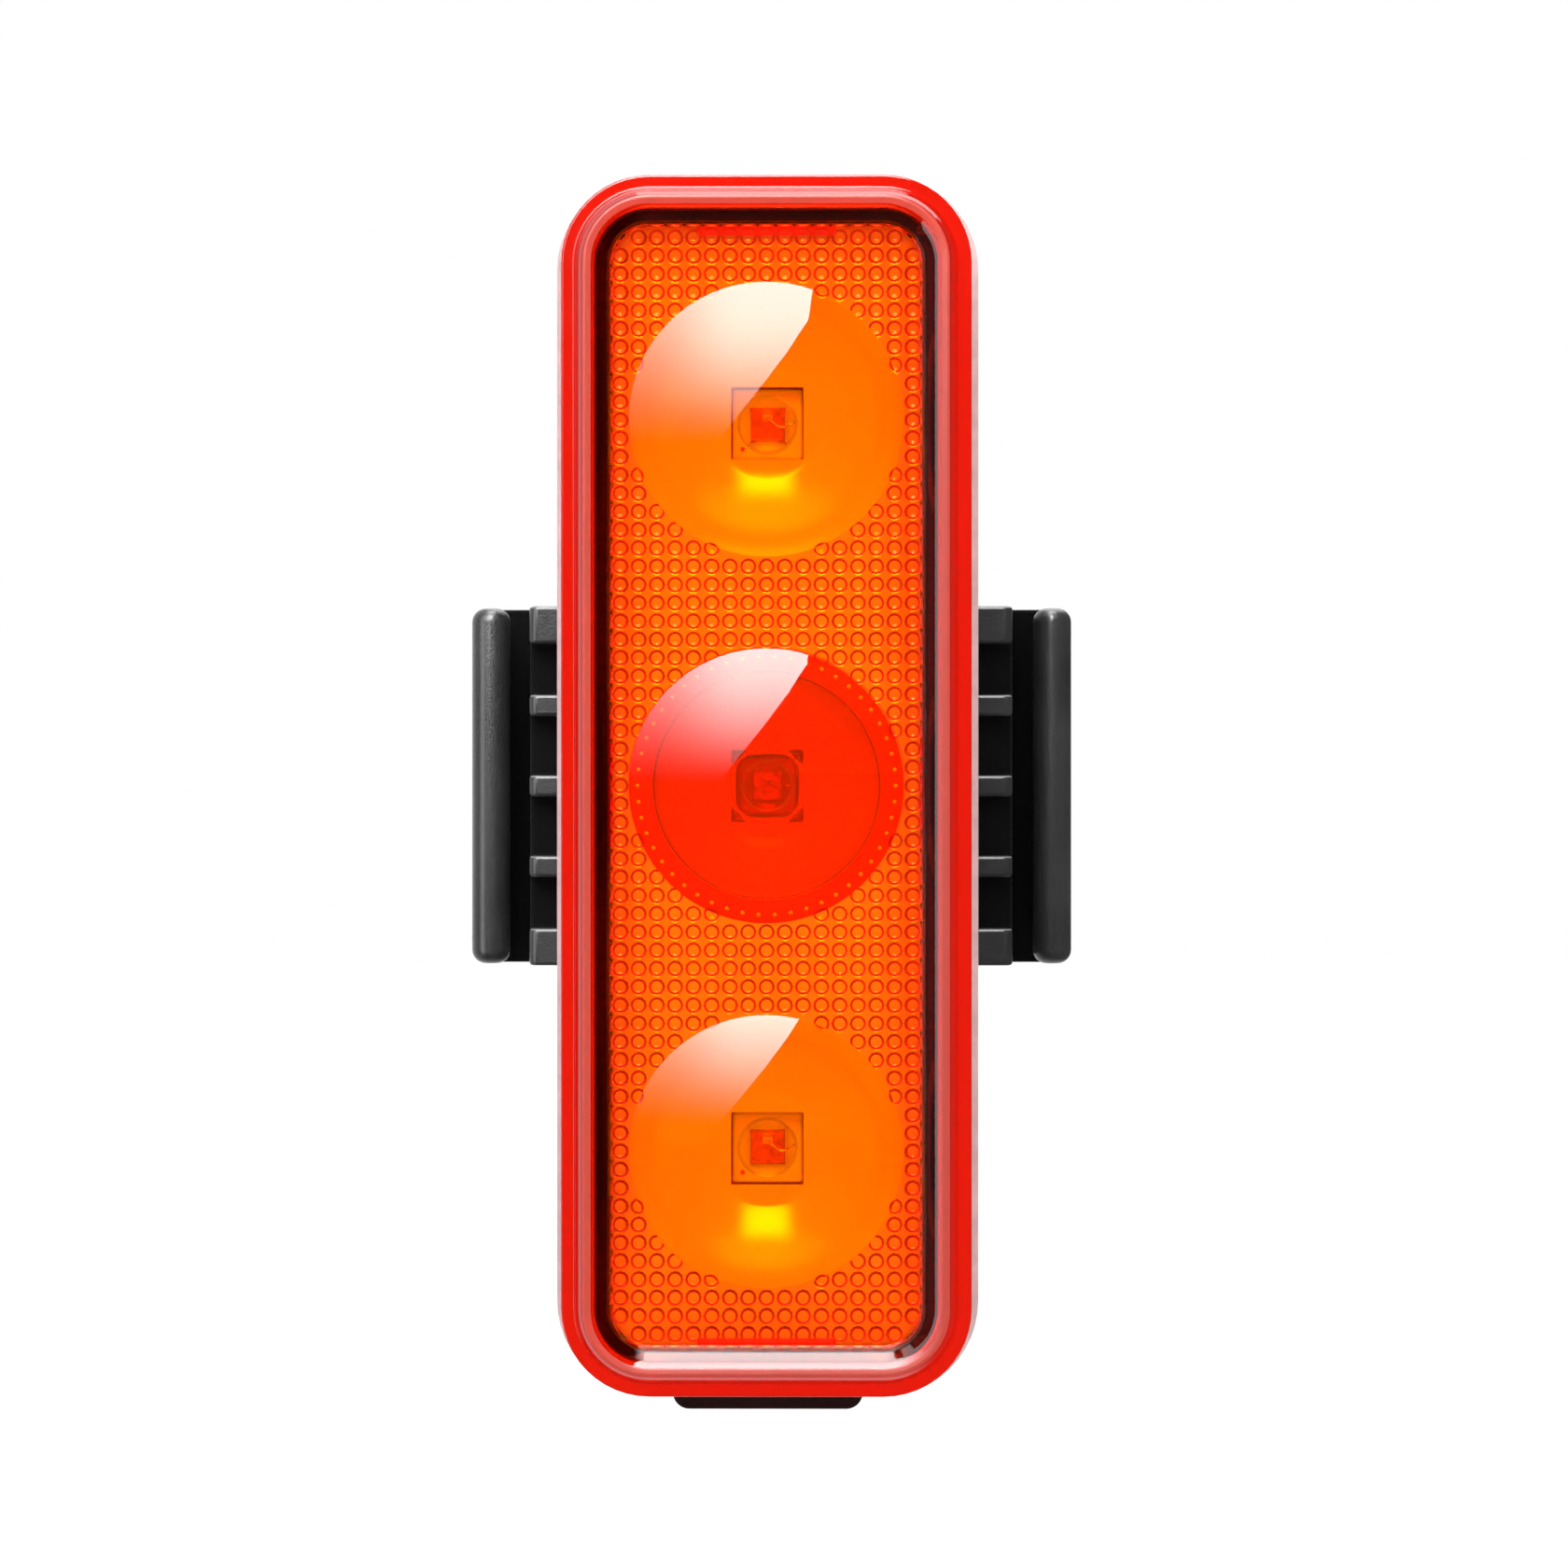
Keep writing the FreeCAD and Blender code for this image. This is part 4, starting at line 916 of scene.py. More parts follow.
@dataclass
class LensTexture:
    """Small round pips on the back of the lens panel, laid out in a square grid.

    A pip is a disc whose rings are spread and raised by two curves over the share of its radius, and its
    steep part, between two of these shares, has a rough opaque finish whose dark red is painted shade.
    """

    pitch: float = 1.08
    radius: float = 0.53
    height: float = 0.2
    columns: int = 17
    rows: int = 61
    sides: int = 12
    rings: int = 4
    clear_of_dome: float = 0.1
    weld: float = 0.002
    spread: tuple[Point, ...] = ((0.0, 0.0), (0.25, 0.56), (0.5, 0.65), (0.75, 0.88), (1.0, 1.0))
    rise: tuple[Point, ...] = ((0.0, 1.0), (0.25, 0.98), (0.5, 0.88), (0.75, 0.24), (1.0, 0.0))
    steep: Point = (0.5, 0.75)

    def tree(self, dome_r: float, lamp_spacing: float, half_w: float, half_h: float,
             corner: float) -> ShapeTree:
        """Builds the tree that turns the panel's outline into its textured back.

        Args:
            dome_r: radius of each dome.
            lamp_spacing: spacing of the lamps.
            half_w: half the width that the pips may fill.
            half_h: half the height that they may fill.
            corner: radius of the panel's corners.

        Returns:
            The tree.
        """
        t = ShapeTree("lens_texture")
        pitch, radius, height, columns, rows, sides = t.sizes(
            pitch=self.pitch, pip_radius=self.radius, pip_height=self.height, columns=self.columns,
            rows=self.rows, pip_sides=self.sides)
        keep_out, spacing, wide, high, turn = t.sizes(
            dome_keep_out=dome_r + self.clear_of_dome, lamp_pitch=lamp_spacing, half_width=half_w,
            half_height=half_h, corner_radius=corner)
        width, tall = (t.math("MULTIPLY", t.math("SUBTRACT", n, 1.0), pitch) for n in (columns, rows))
        grid = t.made("GeometryNodeMeshGrid", {"Size X": width, "Size Y": tall, "Vertices X": columns,
                                               "Vertices Y": rows})
        x, z = t.axes(t.made("GeometryNodeInputPosition"))[:2]
        unwanted = t.math("MAXIMUM", self.under_dome(t, (x, z), spacing, keep_out),
                          self.past_edge(t, (x, z), radius, (wide, high, turn)))
        points = t.made("GeometryNodeDeleteGeometry", {0: grid, "Selection": unwanted}, domain="POINT")
        rim = t.made("GeometryNodeCurvePrimitiveCircle", {"Resolution": sides, "Radius": radius})
        edge = t.made("GeometryNodeMeshToCurve", {0: t.start.outputs[0]})
        flat = t.made("GeometryNodeFillCurve", {0: t.joined(edge, t.spread(points, rim))})
        real = t.joined(flat, t.spread(points, self.pip(t, radius, height, sides)))
        welded = t.made("GeometryNodeMergeByDistance", {0: real, "Distance": self.weld})
        # The steep walls take the finish with the painted shade.
        wall = t.add("GeometryNodeInputNamedAttribute", {"Name": "wall"}, data_type="BOOLEAN")
        t.end(welded, RED_LENS, (t.pick(wall.outputs, "Attribute"), PIP_EDGE))
        return t

    def under_dome(self, t: ShapeTree, place: tuple[Socket, Socket], spacing: Socket,
                   keep_out: Socket) -> Socket:
        """1 where a pip would lie under one of the three domes.

        Args:
            t: the tree.
            place: distances across and up.
            spacing: the lamps' pitch.
            keep_out: how near to a dome's axis a pip may come.

        Returns:
            The socket.
        """
        found = 0.0
        for number in (-1.0, 0.0, 1.0):
            up = t.math("SUBTRACT", place[1], t.math("MULTIPLY", spacing, number))
            found = t.math("MAXIMUM", found, t.math("LESS_THAN", t.span(place[0], up), keep_out))
        return found

    def past_edge(self, t: ShapeTree, place: tuple[Socket, Socket], radius: Socket,
                  outline: tuple[Socket, Socket, Socket]) -> Socket:
        """1 where a pip would cross the panel's rounded outline.

        Args:
            t: the tree.
            place: distances across and up.
            radius: the pip's radius.
            outline: half width, half height and corner radius.

        Returns:
            The socket.
        """
        *halves, turn = outline
        over = []
        for distance, half in zip(place, halves):
            beyond = t.math("SUBTRACT", t.math("ABSOLUTE", distance), t.math("SUBTRACT", half, turn))
            over.append(t.math("MAXIMUM", beyond, 0.0))
        return t.math("GREATER_THAN", t.span(*over), t.math("SUBTRACT", turn, radius))

    def pip(self, t: ShapeTree, radius: Socket, height: Socket, sides: Socket) -> Socket:
        """One pip, a flat disc raised by a curve of its radius.

        Args:
            t: the tree.
            radius: the pip's radius.
            height: how far it stands out.
            sides: its sides.

        Returns:
            The pip's geometry.
        """
        disc = t.made("GeometryNodeMeshCone", {"Vertices": sides, "Side Segments": self.rings,
                                               "Radius Top": 0.0, "Radius Bottom": radius, "Depth": 1.0},
                      fill_type="NONE")
        apart = t.axes(t.made("GeometryNodeInputPosition"))
        share = t.math("DIVIDE", t.span(apart[0], apart[1]), radius)
        inner, outer = self.steep
        steep = t.math("MULTIPLY", t.math("LESS_THAN", share, outer), t.math("GREATER_THAN", share, inner))
        marked = t.made("GeometryNodeStoreNamedAttribute", {0: disc, "Name": "wall", "Value": steep},
                        data_type="BOOLEAN", domain="FACE")
        least_share = 0.001
        scale = t.math("DIVIDE", self.curve(t, share, self.spread), t.math("MAXIMUM", share, least_share))
        x, y = (t.math("MULTIPLY", apart[axis], scale) for axis in (0, 1))
        z = t.math("MULTIPLY", self.curve(t, share, self.rise), height)
        moved = t.made("ShaderNodeCombineXYZ", {0: x, 1: y, 2: z})
        return t.made("GeometryNodeSetPosition", {0: marked, "Position": moved})

    def curve(self, t: ShapeTree, value: Socket, points: tuple[Point, ...]) -> Socket:
        """A curve with straight lines between its points.

        Args:
            t: the tree.
            value: where it is read.
            points: its points.

        Returns:
            Its height there.
        """
        node = t.add("ShaderNodeFloatCurve", {"Value": value})
        drawn = node.mapping.curves[0].points
        while len(drawn) < len(points):
            drawn.new(0.5, 0.5)
        for spot, place in zip(drawn, points):
            spot.location = place
            spot.handle_type = "VECTOR"
        node.mapping.update()
        return node.outputs[0]


@dataclass
class LensCover:
    """Clear red cover with a raised rim, a recessed textured panel and three smooth domes.

    The rim and the hollow behind it are given as (inset from the outline, depth behind the rim's crest),
    each with the reach of the rounding at its inner corners.
    """

    corner_r: float = 5.7
    draft: float = 0.5
    foot_flare: float = 0.1
    wall: float = 1.5
    wall_top: float = 2.05
    flange_drop: float = 1.5
    rim: tuple[Point, ...] = ((1.28, 1.5), (1.52, 0.6), (1.84, 0.0), (2.26, 0.09), (2.66, 0.32),
                              (3.25, 0.84))
    rim_soft: tuple[float, ...] = (0.12, 0.1, 0.2, 0.16, 0.08, 0.15, 0.1)
    hollow: tuple[Point, ...] = ((2.1, 1.2), (2.4, 1.0), (3.05, 1.8))
    hollow_soft: tuple[float, ...] = (0.3, 0.1, 0.14, 0.1)
    panel_inset: float = 3.55
    panel_lap: float = 0.3
    panel_set_back: float = 1.5
    panel_t: float = 1.4
    dome_r: float = 8.1
    dome_h: float = 1.4
    weld_h: float = 0.5
    weld: float = 5e-3
    bead_clear: float = 0.06
    bead_gap: float = 0.02
    collar_foot: float = 1.2
    collar_front: tuple[Point, ...] = ((2.2, 1.6), (2.4, 1.35), (3.0, 2.1), (3.0, 2.9), (2.77, 2.95))
    collar_inset: Point = (2.2, 2.75)
    tab_half: float = 4.1
    tab_heights: Point = (0.5, 0.65)
    tab_depth: Point = (0.03, 0.34)
    tab_lap: float = 0.18
    satin: Point = (1.8, 2.26)
    corner_steps: int = 12
    dome_sides: int = 72
    dome_rings: int = 12

    def __post_init__(self) -> None:
        """Reads the lens's place from the frame."""
        low, high = box_mm("lens_cover")
        self.half_w, self.half_h = high.x, high.z
        self.crest_y, self.edge_y = low.y, high.y
        self.foot_y = self.edge_y - self.weld_h
        self.heights = lamp_heights()
        self.panel_y = self.crest_y + self.panel_set_back
        self.back_y = self.panel_y + self.panel_t

    def outline(self, inset: float) -> list[Point]:
        """The cover's outline, drawn in by inset."""
        return rounded_outline(self.half_w - inset, self.half_h - inset, self.corner_r - inset,
                               self.corner_steps)

    def rings(self, shell: Shell, profile: Iterable[Point]) -> list[Ring]:
        """Adds a ring of the cover's outline for each (inset, y) of a profile."""
        return [shell.ring(self.outline(inset), y) for inset, y in profile]

    def behind_crest(self, points: Iterable[Point]) -> list[Point]:
        """Turns (inset, depth behind the crest) into (inset, y)."""
        return [(inset, self.crest_y + depth) for inset, depth in points]

    def outer_profile(self) -> list[Point]:
        """Side wall, flange, rim and the slope down to the panel.

        Returns:
            The profile, as (inset, y).
        """
        foot = [(self.draft - self.foot_flare, self.foot_y), (self.draft, self.crest_y + self.flange_drop)]
        end = (self.panel_inset, self.panel_y)
        return softened(foot + self.behind_crest(self.rim) + [end], self.rim_soft)

    def inner_profile(self) -> list[Point]:
        """Inside of the side wall and the hollow behind the rim.

        Returns:
            The profile, as (inset, y).
        """
        foot = [(self.wall, self.foot_y), (self.wall_top, self.back_y)]
        end = (self.panel_inset - self.panel_lap, self.back_y)
        return softened(foot + self.behind_crest(self.hollow) + [end], self.hollow_soft)

    def build(self) -> Piece:
        """Builds the cover as one closed shell.

        Returns:
            The piece.
        """
        shell = Shell()
        profile = self.outer_profile()
        outer = self.rings(shell, profile)
        for (inset, _), first, second in zip(profile, outer, outer[1:]):
            shell.bridge(first, second, self.zone(inset))
        domes = [self.dome(shell, z) for z in self.heights]
        shell.fill(outer[-1], *domes, material=Zone.PANEL)
        inner = self.rings(shell, self.inner_profile())
        shell.join(inner[::-1] + outer[:1], Zone.EDGE)
        shell.bm.from_mesh(self.panel_back())
        mesh = shell.mesh("lens_cover_shell", smooth_deg=30.0, weld=self.weld)
        self.crease_domes(mesh)
        made = piece("red_lens_cover", mesh, Body.LIGHT, RED_LENS, PIP_EDGE, RED_RIM, RED_EDGE, RED_PANEL,
                     RED_SKIRT, stands_for="lens_cover")
        made.visible_shadow = False
        return made

    def zone(self, inset: float) -> Zone:
        """Which finish the cover's outside has.

        Args:
            inset: how far in from the outline.

        Returns:
            The finish's zone.
        """
        if inset < self.satin[0]:
            return Zone.SKIRT
        return Zone.SATIN if inset < self.satin[1] else Zone.EDGE

    def dome(self, shell: Shell, z: float) -> Ring:
        """Adds one spherical cap.

        Args:
            shell: the lens.
            z: height of the dome's axis.

        Returns:
            Its edge, in the panel's plane.
        """
        ball = (self.dome_r ** 2 + self.dome_h ** 2) / (2 * self.dome_h)
        profile = []
        for step in range(self.dome_rings + 1):
            radius = self.dome_r * math.sin(math.pi / 2 * (1 - step / self.dome_rings))
            profile.append((radius, self.panel_y + ball - self.dome_h - math.sqrt(ball ** 2 - radius ** 2)))
        return shell.turned(profile, self.dome_sides, (0.0, z))[0]

    def crease_domes(self, mesh: Mesh, near: float = 0.01) -> None:
        """Keeps each dome's edge crisp.

        Args:
            mesh: the cover.
            near: how near to its place, in millimetres, an edge has to be.
        """
        sharp = mesh.attributes.get("sharp_edge") or mesh.attributes.new("sharp_edge", "BOOLEAN", "EDGE")
        for edge in mesh.edges:
            ends = [mesh.vertices[i].co / MM for i in edge.vertices]
            if max(abs(end.y - self.panel_y) for end in ends) > near:
                continue
            for z in self.heights:
                radii = [math.hypot(end.x, end.z - z) for end in ends]
                if max(abs(radius - self.dome_r) for radius in radii) < near:
                    sharp.data[edge.index].value = True

    def panel_back(self) -> Mesh:
        """The panel's textured back, in millimetres and in place.

        Returns:
            The mesh.
        """
        inset = self.panel_inset - self.panel_lap
        ring = self.outline(inset)
        count = len(ring)
        flat = bpy.data.meshes.new("panel_outline")
        flat.from_pydata([(x, z, 0.0) for x, z in ring], [(i, (i + 1) % count) for i in range(count)], [])
        tree = LensTexture().tree(self.dome_r, self.heights[-1], self.half_w - inset, self.half_h - inset,
                                  self.corner_r - inset)
        back = tree.run(flat)
        stand(back, self.back_y)
        return back

    def sleeve(self, name: str, profile: Iterable[Point], finish: Finish) -> Piece:
        """Adds a closed sleeve that follows the cover's outline.

        Args:
            name: the piece's name.
            profile: its section, as (inset, y).
            finish: its finish.

        Returns:
            The piece.
        """
        shell = Shell()
        shell.join(self.rings(shell, profile), closed=True)
        return piece(name, shell.mesh(name), Body.LIGHT, finish)

    def weld_bead(self) -> Piece:
        """Bright bead of melted plastic that joins the cover to the case.

        Returns:
            The piece.
        """
        inner = self.wall - self.bead_clear
        front, back = self.foot_y + self.bead_gap, self.edge_y
        profile = ((0.0, back), (0.0, front), (inner, front), (inner, back))
        return self.sleeve("lens_weld_bead", profile, WELD_PALE)

    def collar(self) -> Piece:
        """Black collar of the case that keeps light out of the rim.

        Returns:
            The piece.
        """
        foot = self.edge_y - self.collar_foot
        outer, inner = self.collar_inset
        profile = [(outer, foot)] + self.behind_crest(self.collar_front) + [(inner, foot)]
        return self.sleeve("case_collar", profile, COLLAR)

    def tabs(self) -> Piece:
        """Red tabs on the panel's back at its top and bottom.

        Returns:
            The piece.
        """
        shell = Shell()
        front, back = (self.back_y + depth for depth in self.tab_depth)
        edge = self.half_h - self.panel_inset + self.tab_lap
        for side, height in zip((-1, 1), self.tab_heights):
            bottom, top = sorted((side * edge, side * (edge - height)))
            shell.block((-self.tab_half, front, bottom), (self.tab_half, back, top))
        return piece("lens_tabs", shell.mesh("tabs"), Body.LIGHT, TAB_RED)


@dataclass
class Optics:
    """Bright reflector with two cups, and the collimator over the middle lamp."""

    corner_r: float = 2.8
    corner_steps: int = 8
    edge: float = 0.3
    cup_mouth_r: float = 7.6
    cup_foot_r: float = 2.9
    cup_floor_t: float = 1.05
    cup_steps: int = 18
    lip: float = 0.25
    window: float = 3.85
    flange_r: float = 8.0
    flange_t: float = 0.9
    flange_edge: float = 0.12
    flange_dip: float = 0.1
    seat_gap: float = 0.05
    seat_edge: float = 0.2
    seat_steps: int = 10
    cone_r: float = 6.5
    cone_gap: float = 0.1
    cone_bend: float = 1.5
    cone_steps: int = 8
    foot_r: float = 2.9
    foot_rise: float = 0.2
    face: tuple[Point, ...] = ((0.0, 0.1), (2.4, 0.08), (4.6, 0.05))
    face_edge: tuple[Point, ...] = ((0.35, 0.02), (0.05, 0.2), (0.05, 0.9))
    cavity_r: float = 2.2
    cavity_d: float = 1.9
    sides: int = 96
    pips: int = 50
    pip_r: float = 0.13
    pip_out: float = 0.15
    pip_lift: float = 0.02

    def __post_init__(self) -> None:
        """Reads the plate's place from the frame."""
        low, high = box_mm("reflector")
        self.half_w, self.half_h = high.x, high.z
        self.front_y, self.back_y = low.y, high.y
        self.floor_y = self.back_y - self.cup_floor_t
        self.ledge_y = self.front_y + self.flange_t

    def cup_profile(self) -> list[Point]:
        """A cup from its lip down its round wall to the floor.

        Returns:
            The profile, as (radius, y).
        """
        depth = self.floor_y - self.front_y - self.lip
        ball = (self.cup_mouth_r ** 2 + depth ** 2) / (2 * depth)
        points = [(self.cup_mouth_r + self.lip, self.front_y)]
        for step in range(self.cup_steps + 1):
            radius = self.cup_mouth_r + (self.cup_foot_r - self.cup_mouth_r) * step / self.cup_steps
            points.append((radius, self.floor_y - ball + math.sqrt(ball ** 2 - radius ** 2)))
        return points

    def cone(self, top: Point, bottom: Point, steps: int) -> list[Point]:
        """A wall that narrows faster and faster.

        Args:
            top: (radius, y) where it starts.
            bottom: (radius, y) where it ends.
            steps: its steps.

        Returns:
            Its points, from top to bottom.
        """
        (wide, start), (narrow, end) = top, bottom
        shares = [step / steps for step in range(steps + 1)]
        return [(wide - (wide - narrow) * share ** self.cone_bend, start + (end - start) * share)
                for share in shares]

    def seat_profile(self) -> list[Point]:
        """The collimator's seat and the cup behind its cone.

        Returns:
            The profile, as (radius, y).
        """
        inner = self.flange_r + self.seat_gap
        seat = [(inner + self.seat_edge, self.front_y), (inner, self.front_y + self.seat_edge),
                (inner, self.ledge_y)]
        top = (self.cone_r + self.cone_gap, self.ledge_y)
        return seat + self.cone(top, (self.cup_foot_r, self.floor_y), self.seat_steps)

    def build(self) -> Piece:
        """Builds the plate with its cups, windows and seat.

        Returns:
            The piece.
        """
        shell = Shell()
        levels = ((self.edge, self.front_y), (0.0, self.front_y + self.edge), (0.0, self.back_y))
        edge = []
        for inset, y in levels:
            halves = (self.half_w - inset, self.half_h - inset)
            outline = rounded_outline(*halves, self.corner_r - inset, self.corner_steps)
            edge.append(shell.ring(outline, y))
        shell.join(edge)
        mouths = []
        backs = []
        half = self.window / 2
        cup = self.cup_profile()
        for z, profile in zip(lamp_heights(), (cup, self.seat_profile(), cup)):
            rings = shell.turned(profile, self.sides, (0.0, z))
            square = [(half, z + half), (-half, z + half), (-half, z - half), (half, z - half)]
            top, bottom = shell.ring(square, profile[-1][1]), shell.ring(square, self.back_y)
            shell.fill(rings[-1], top)
            shell.bridge(top, bottom)
            mouths.append(rings[0])
            backs.append(bottom)
        shell.fill(edge[0], *mouths)
        shell.fill(edge[-1], *backs, facing=1.0)
        mesh = shell.mesh("plate", smooth_deg=40.0)
        return piece("silver_reflector", mesh, Body.LIGHT, PLATE, stands_for="reflector")

    def collimator(self) -> Piece:
        """Red cone under a flat face, with its hollow over the lamp.

        Returns:
            The piece.
        """
        foot = self.floor_y - self.foot_rise
        rim = tuple((self.cone_r - inset, depth) for inset, depth in self.face_edge)
        profile = [(radius, self.front_y + depth) for radius, depth in self.face + rim]
        profile += self.cone((self.cone_r, self.ledge_y), (self.foot_r, foot), self.cone_steps)[1:]
        profile += [(self.cavity_r * math.cos(angle), foot - self.cavity_d * math.sin(angle))
                    for angle in quarter(self.cone_steps)]
        shell = Shell()
        shell.turned(profile, self.sides)
        mesh = shell.mesh("collimator", smooth_deg=30.0)
        made = piece("red_collimator", mesh, Body.LIGHT, RED_OPTIC, stands_for="collimator_lens")
        made.visible_shadow = False
        return made

    def flange(self) -> Piece:
        """Red flange that the collimator sits in.

        Returns:
            The piece.
        """
        top, bevel = self.front_y, self.flange_edge
        outline = [(self.cone_r, top + self.flange_dip), (self.cone_r + bevel, top),
                   (self.flange_r - bevel, top), (self.flange_r, top + bevel),
                   (self.flange_r, self.ledge_y), (self.cone_r, self.ledge_y)]
        shell = Shell()
        rings = shell.turned(outline, self.sides)
        shell.bridge(rings[-1], rings[0])
        return piece("red_flange", shell.mesh("flange", smooth_deg=30.0), Body.LIGHT, FLANGE_RED)

    def flange_pips(self) -> Piece:
        """Row of small bright pips round the collimator's flange.

        Returns:
            The piece.
        """
        t = ShapeTree("flange_pips")
        middle = (self.flange_r + self.cone_r) / 2 + self.pip_out
        count, reach, radius = t.sizes(count=self.pips, ring_radius=middle, pip_radius=self.pip_r)
        ring = t.made("GeometryNodeCurvePrimitiveCircle", {"Resolution": count, "Radius": reach})
        ball = t.made("GeometryNodeMeshIcoSphere", {"Radius": radius, "Subdivisions": 2})
        t.end(t.spread(ring, ball), SILVER)
        mesh = t.run(bpy.data.meshes.new("empty"))
        stand(mesh, self.front_y - self.pip_lift)
        mesh.flip_normals()
        mesh.transform(Matrix.Scale(MM, 4))
        mesh.shade_smooth()
        return piece("flange_pips", mesh, Body.LIGHT, SILVER)


@dataclass
class Lamps:
    """The three square lamps: ceramic base, chip with its bond wire, and clear dome."""

    side: float = 3.6
    corner_r: float = 0.12
    corner_steps: int = 3
    edge: float = 0.1
    die: float = 1.15
    die_t: float = 0.15
    pad_share: float = 0.16
    pad_span: Point = (0.2, 0.62)
    pad_t: float = 0.02
    dot_r: float = 0.13
    dot_in: float = 0.5
    dot_y: Point = (-0.012, 0.045)
    dot_sides: int = 12
    dome_r: float = 1.45
    dome_foot: float = 0.1
    dome_y: tuple[float, float, float] = (0.02, -0.04, -0.05)
    cup_r: float = 1.6
    cup_d: float = 0.3
    cup_slope: float = 0.32
    wire_r: float = 0.045
    wire_sides: int = 6
    gold: int = 1
    wire_start: float = 0.2
    wire_end: Point = (0.85, 0.1)
    wire_lift: tuple[float, float, float] = (0.1, -0.42, -0.3)
    sides: int = 40
    steps: int = 10

    def __post_init__(self) -> None:
        """Reads the lamps' places from the frame."""
        low, high = box_mm("led_packages")
        self.board_y = high.y
        self.top_y = low.y
        self.floor_y = self.top_y + self.cup_d
        self.heights = lamp_heights()

    def bases(self) -> Piece:
        """Ceramic bases with a bevelled top and a bright cup round the chip.

        Returns:
            The piece.
        """
        shell = Shell()
        levels = ((0.0, self.board_y), (0.0, self.top_y + self.edge), (self.edge, self.top_y))
        white, bright, red = range(3)
        for z in self.heights:
            rings = []
            for inset, y in levels:
                half = self.side / 2 - inset
                outline = rounded_outline(half, half, self.corner_r, self.corner_steps)
                rings.append(shell.ring([(x, z + up) for x, up in outline], y))
            # The middle lamp's base takes the painted red light and shade in place of white ceramic.
            ceramic = white if z else red
            shell.join(rings, ceramic)
            cup = [(self.cup_r, self.top_y), (self.cup_r - self.cup_slope, self.floor_y)]
            mouth, foot = shell.turned(cup, self.sides, (0.0, z), bright)
            shell.fan(foot, (0.0, self.floor_y, z), ceramic)
            shell.fill(rings[-1], mouth, material=ceramic)
            shell.fill(rings[0], facing=1.0)
        return piece("lamp_bases", shell.mesh("bases"), Body.LIGHT, CERAMIC, SILVER, SHADED_CERAMIC,
                     stands_for="led_packages")

    def chips(self) -> Piece:
        """Red chips with a bright electrode and a bond wire, and a dot by one corner.

        Returns:
            The piece.
        """
        shell = Shell()
        half = self.die / 2
        face = self.floor_y - self.die_t
        pad = self.die * self.pad_share
        corner = self.side / 2 - self.dot_in
        lower, upper = (half * share for share in self.pad_span)
        front, back = (self.top_y + depth for depth in self.dot_y)
        for z in self.heights:
            shell.block((-half, face, z - half), (half, self.floor_y, z + half))
            shell.block((-pad, face - self.pad_t, z + lower), (pad, face, z + upper), self.gold)
            self.wire(shell, z, face)
            dot = [(0.0, front), (self.dot_r, front), (self.dot_r, back), (0.0, back)]
            shell.turned(dot, self.dot_sides, (-corner, z - corner))
        return piece("lamp_chips", shell.mesh("chips"), Body.LIGHT, DIE, GOLD, stands_for="led_dies")

    def wire(self, shell: Shell, z: float, y: float) -> None:
        """Adds a bond wire that loops from the chip's electrode to the base.

        Args:
            shell: the mesh.
            z: the lamp's height.
            y: the chip's face.
        """
        across, up = (self.die * share for share in self.wire_end)
        start = Vector((0.0, y, z + self.die * self.wire_start))
        finish = Vector((across, self.floor_y, z + up))
        lift = Vector(self.wire_lift)
        shares = [step / self.steps for step in range(self.steps + 1)]
        path = [start.lerp(finish, t) + lift * math.sin(math.pi * t) for t in shares]
        rings = []
        for before, spot, after in zip(path[:1] + path, path, path[1:] + path[-1:]):
            ahead = (after - before).normalized()
            side = ahead.cross(Vector((0, 0, 1))).normalized()
            rise = side.cross(ahead)
            rings.append([shell.bm.verts.new(spot + side * a + rise * b)
                          for a, b in circle(self.wire_r, self.wire_sides)])
        shell.join(rings, self.gold)
        for end in (rings[0], rings[-1][::-1]):
            shell.bm.faces.new(end).material_index = self.gold

    def domes(self) -> Piece:
        """Clear silicone domes with a thin foot.

        Returns:
            The piece.
        """
        shell = Shell()
        back, front, spring = (self.top_y + depth for depth in self.dome_y)
        foot_r = self.dome_r + self.dome_foot
        rise = self.dome_r - self.dome_foot
        profile = [(0.0, back), (foot_r, back), (foot_r, front)]
        profile += [(self.dome_r * math.cos(angle), spring - rise * math.sin(angle))
                    for angle in quarter(self.steps)]
        for z in self.heights:
            shell.turned(profile, self.sides, (0.0, z))
        mesh = shell.mesh("domes", smooth_deg=50.0)
        made = piece("lamp_domes", mesh, Body.LIGHT, SILICONE, stands_for="led_domes")
        made.visible_shadow = False
        return made


@dataclass
class Case:
    """Black case: housing, back cover, screws, button and port flap."""

    edge: float = 0.2
    screw_edge: float = 0.08
    button_edge: float = 0.25

    def build(self) -> list[Piece]:
        """Builds the case's pieces.

        Returns:
            The pieces.
        """
        return [dressed("case_housing", "rear_housing", Body.LIGHT, CASE, self.edge),
                dressed("case_back", "back_cover", Body.LIGHT, CASE, self.edge),
                dressed("case_screws", "housing_screws", Body.LIGHT, STEEL, self.screw_edge),
                dressed("rubber_button", "power_button", Body.BUTTON, RUBBER, self.button_edge, segments=3),
                dressed("rubber_flap", "usb_cover", Body.FLAP, FLAP_RUBBER, self.edge, segments=3)]


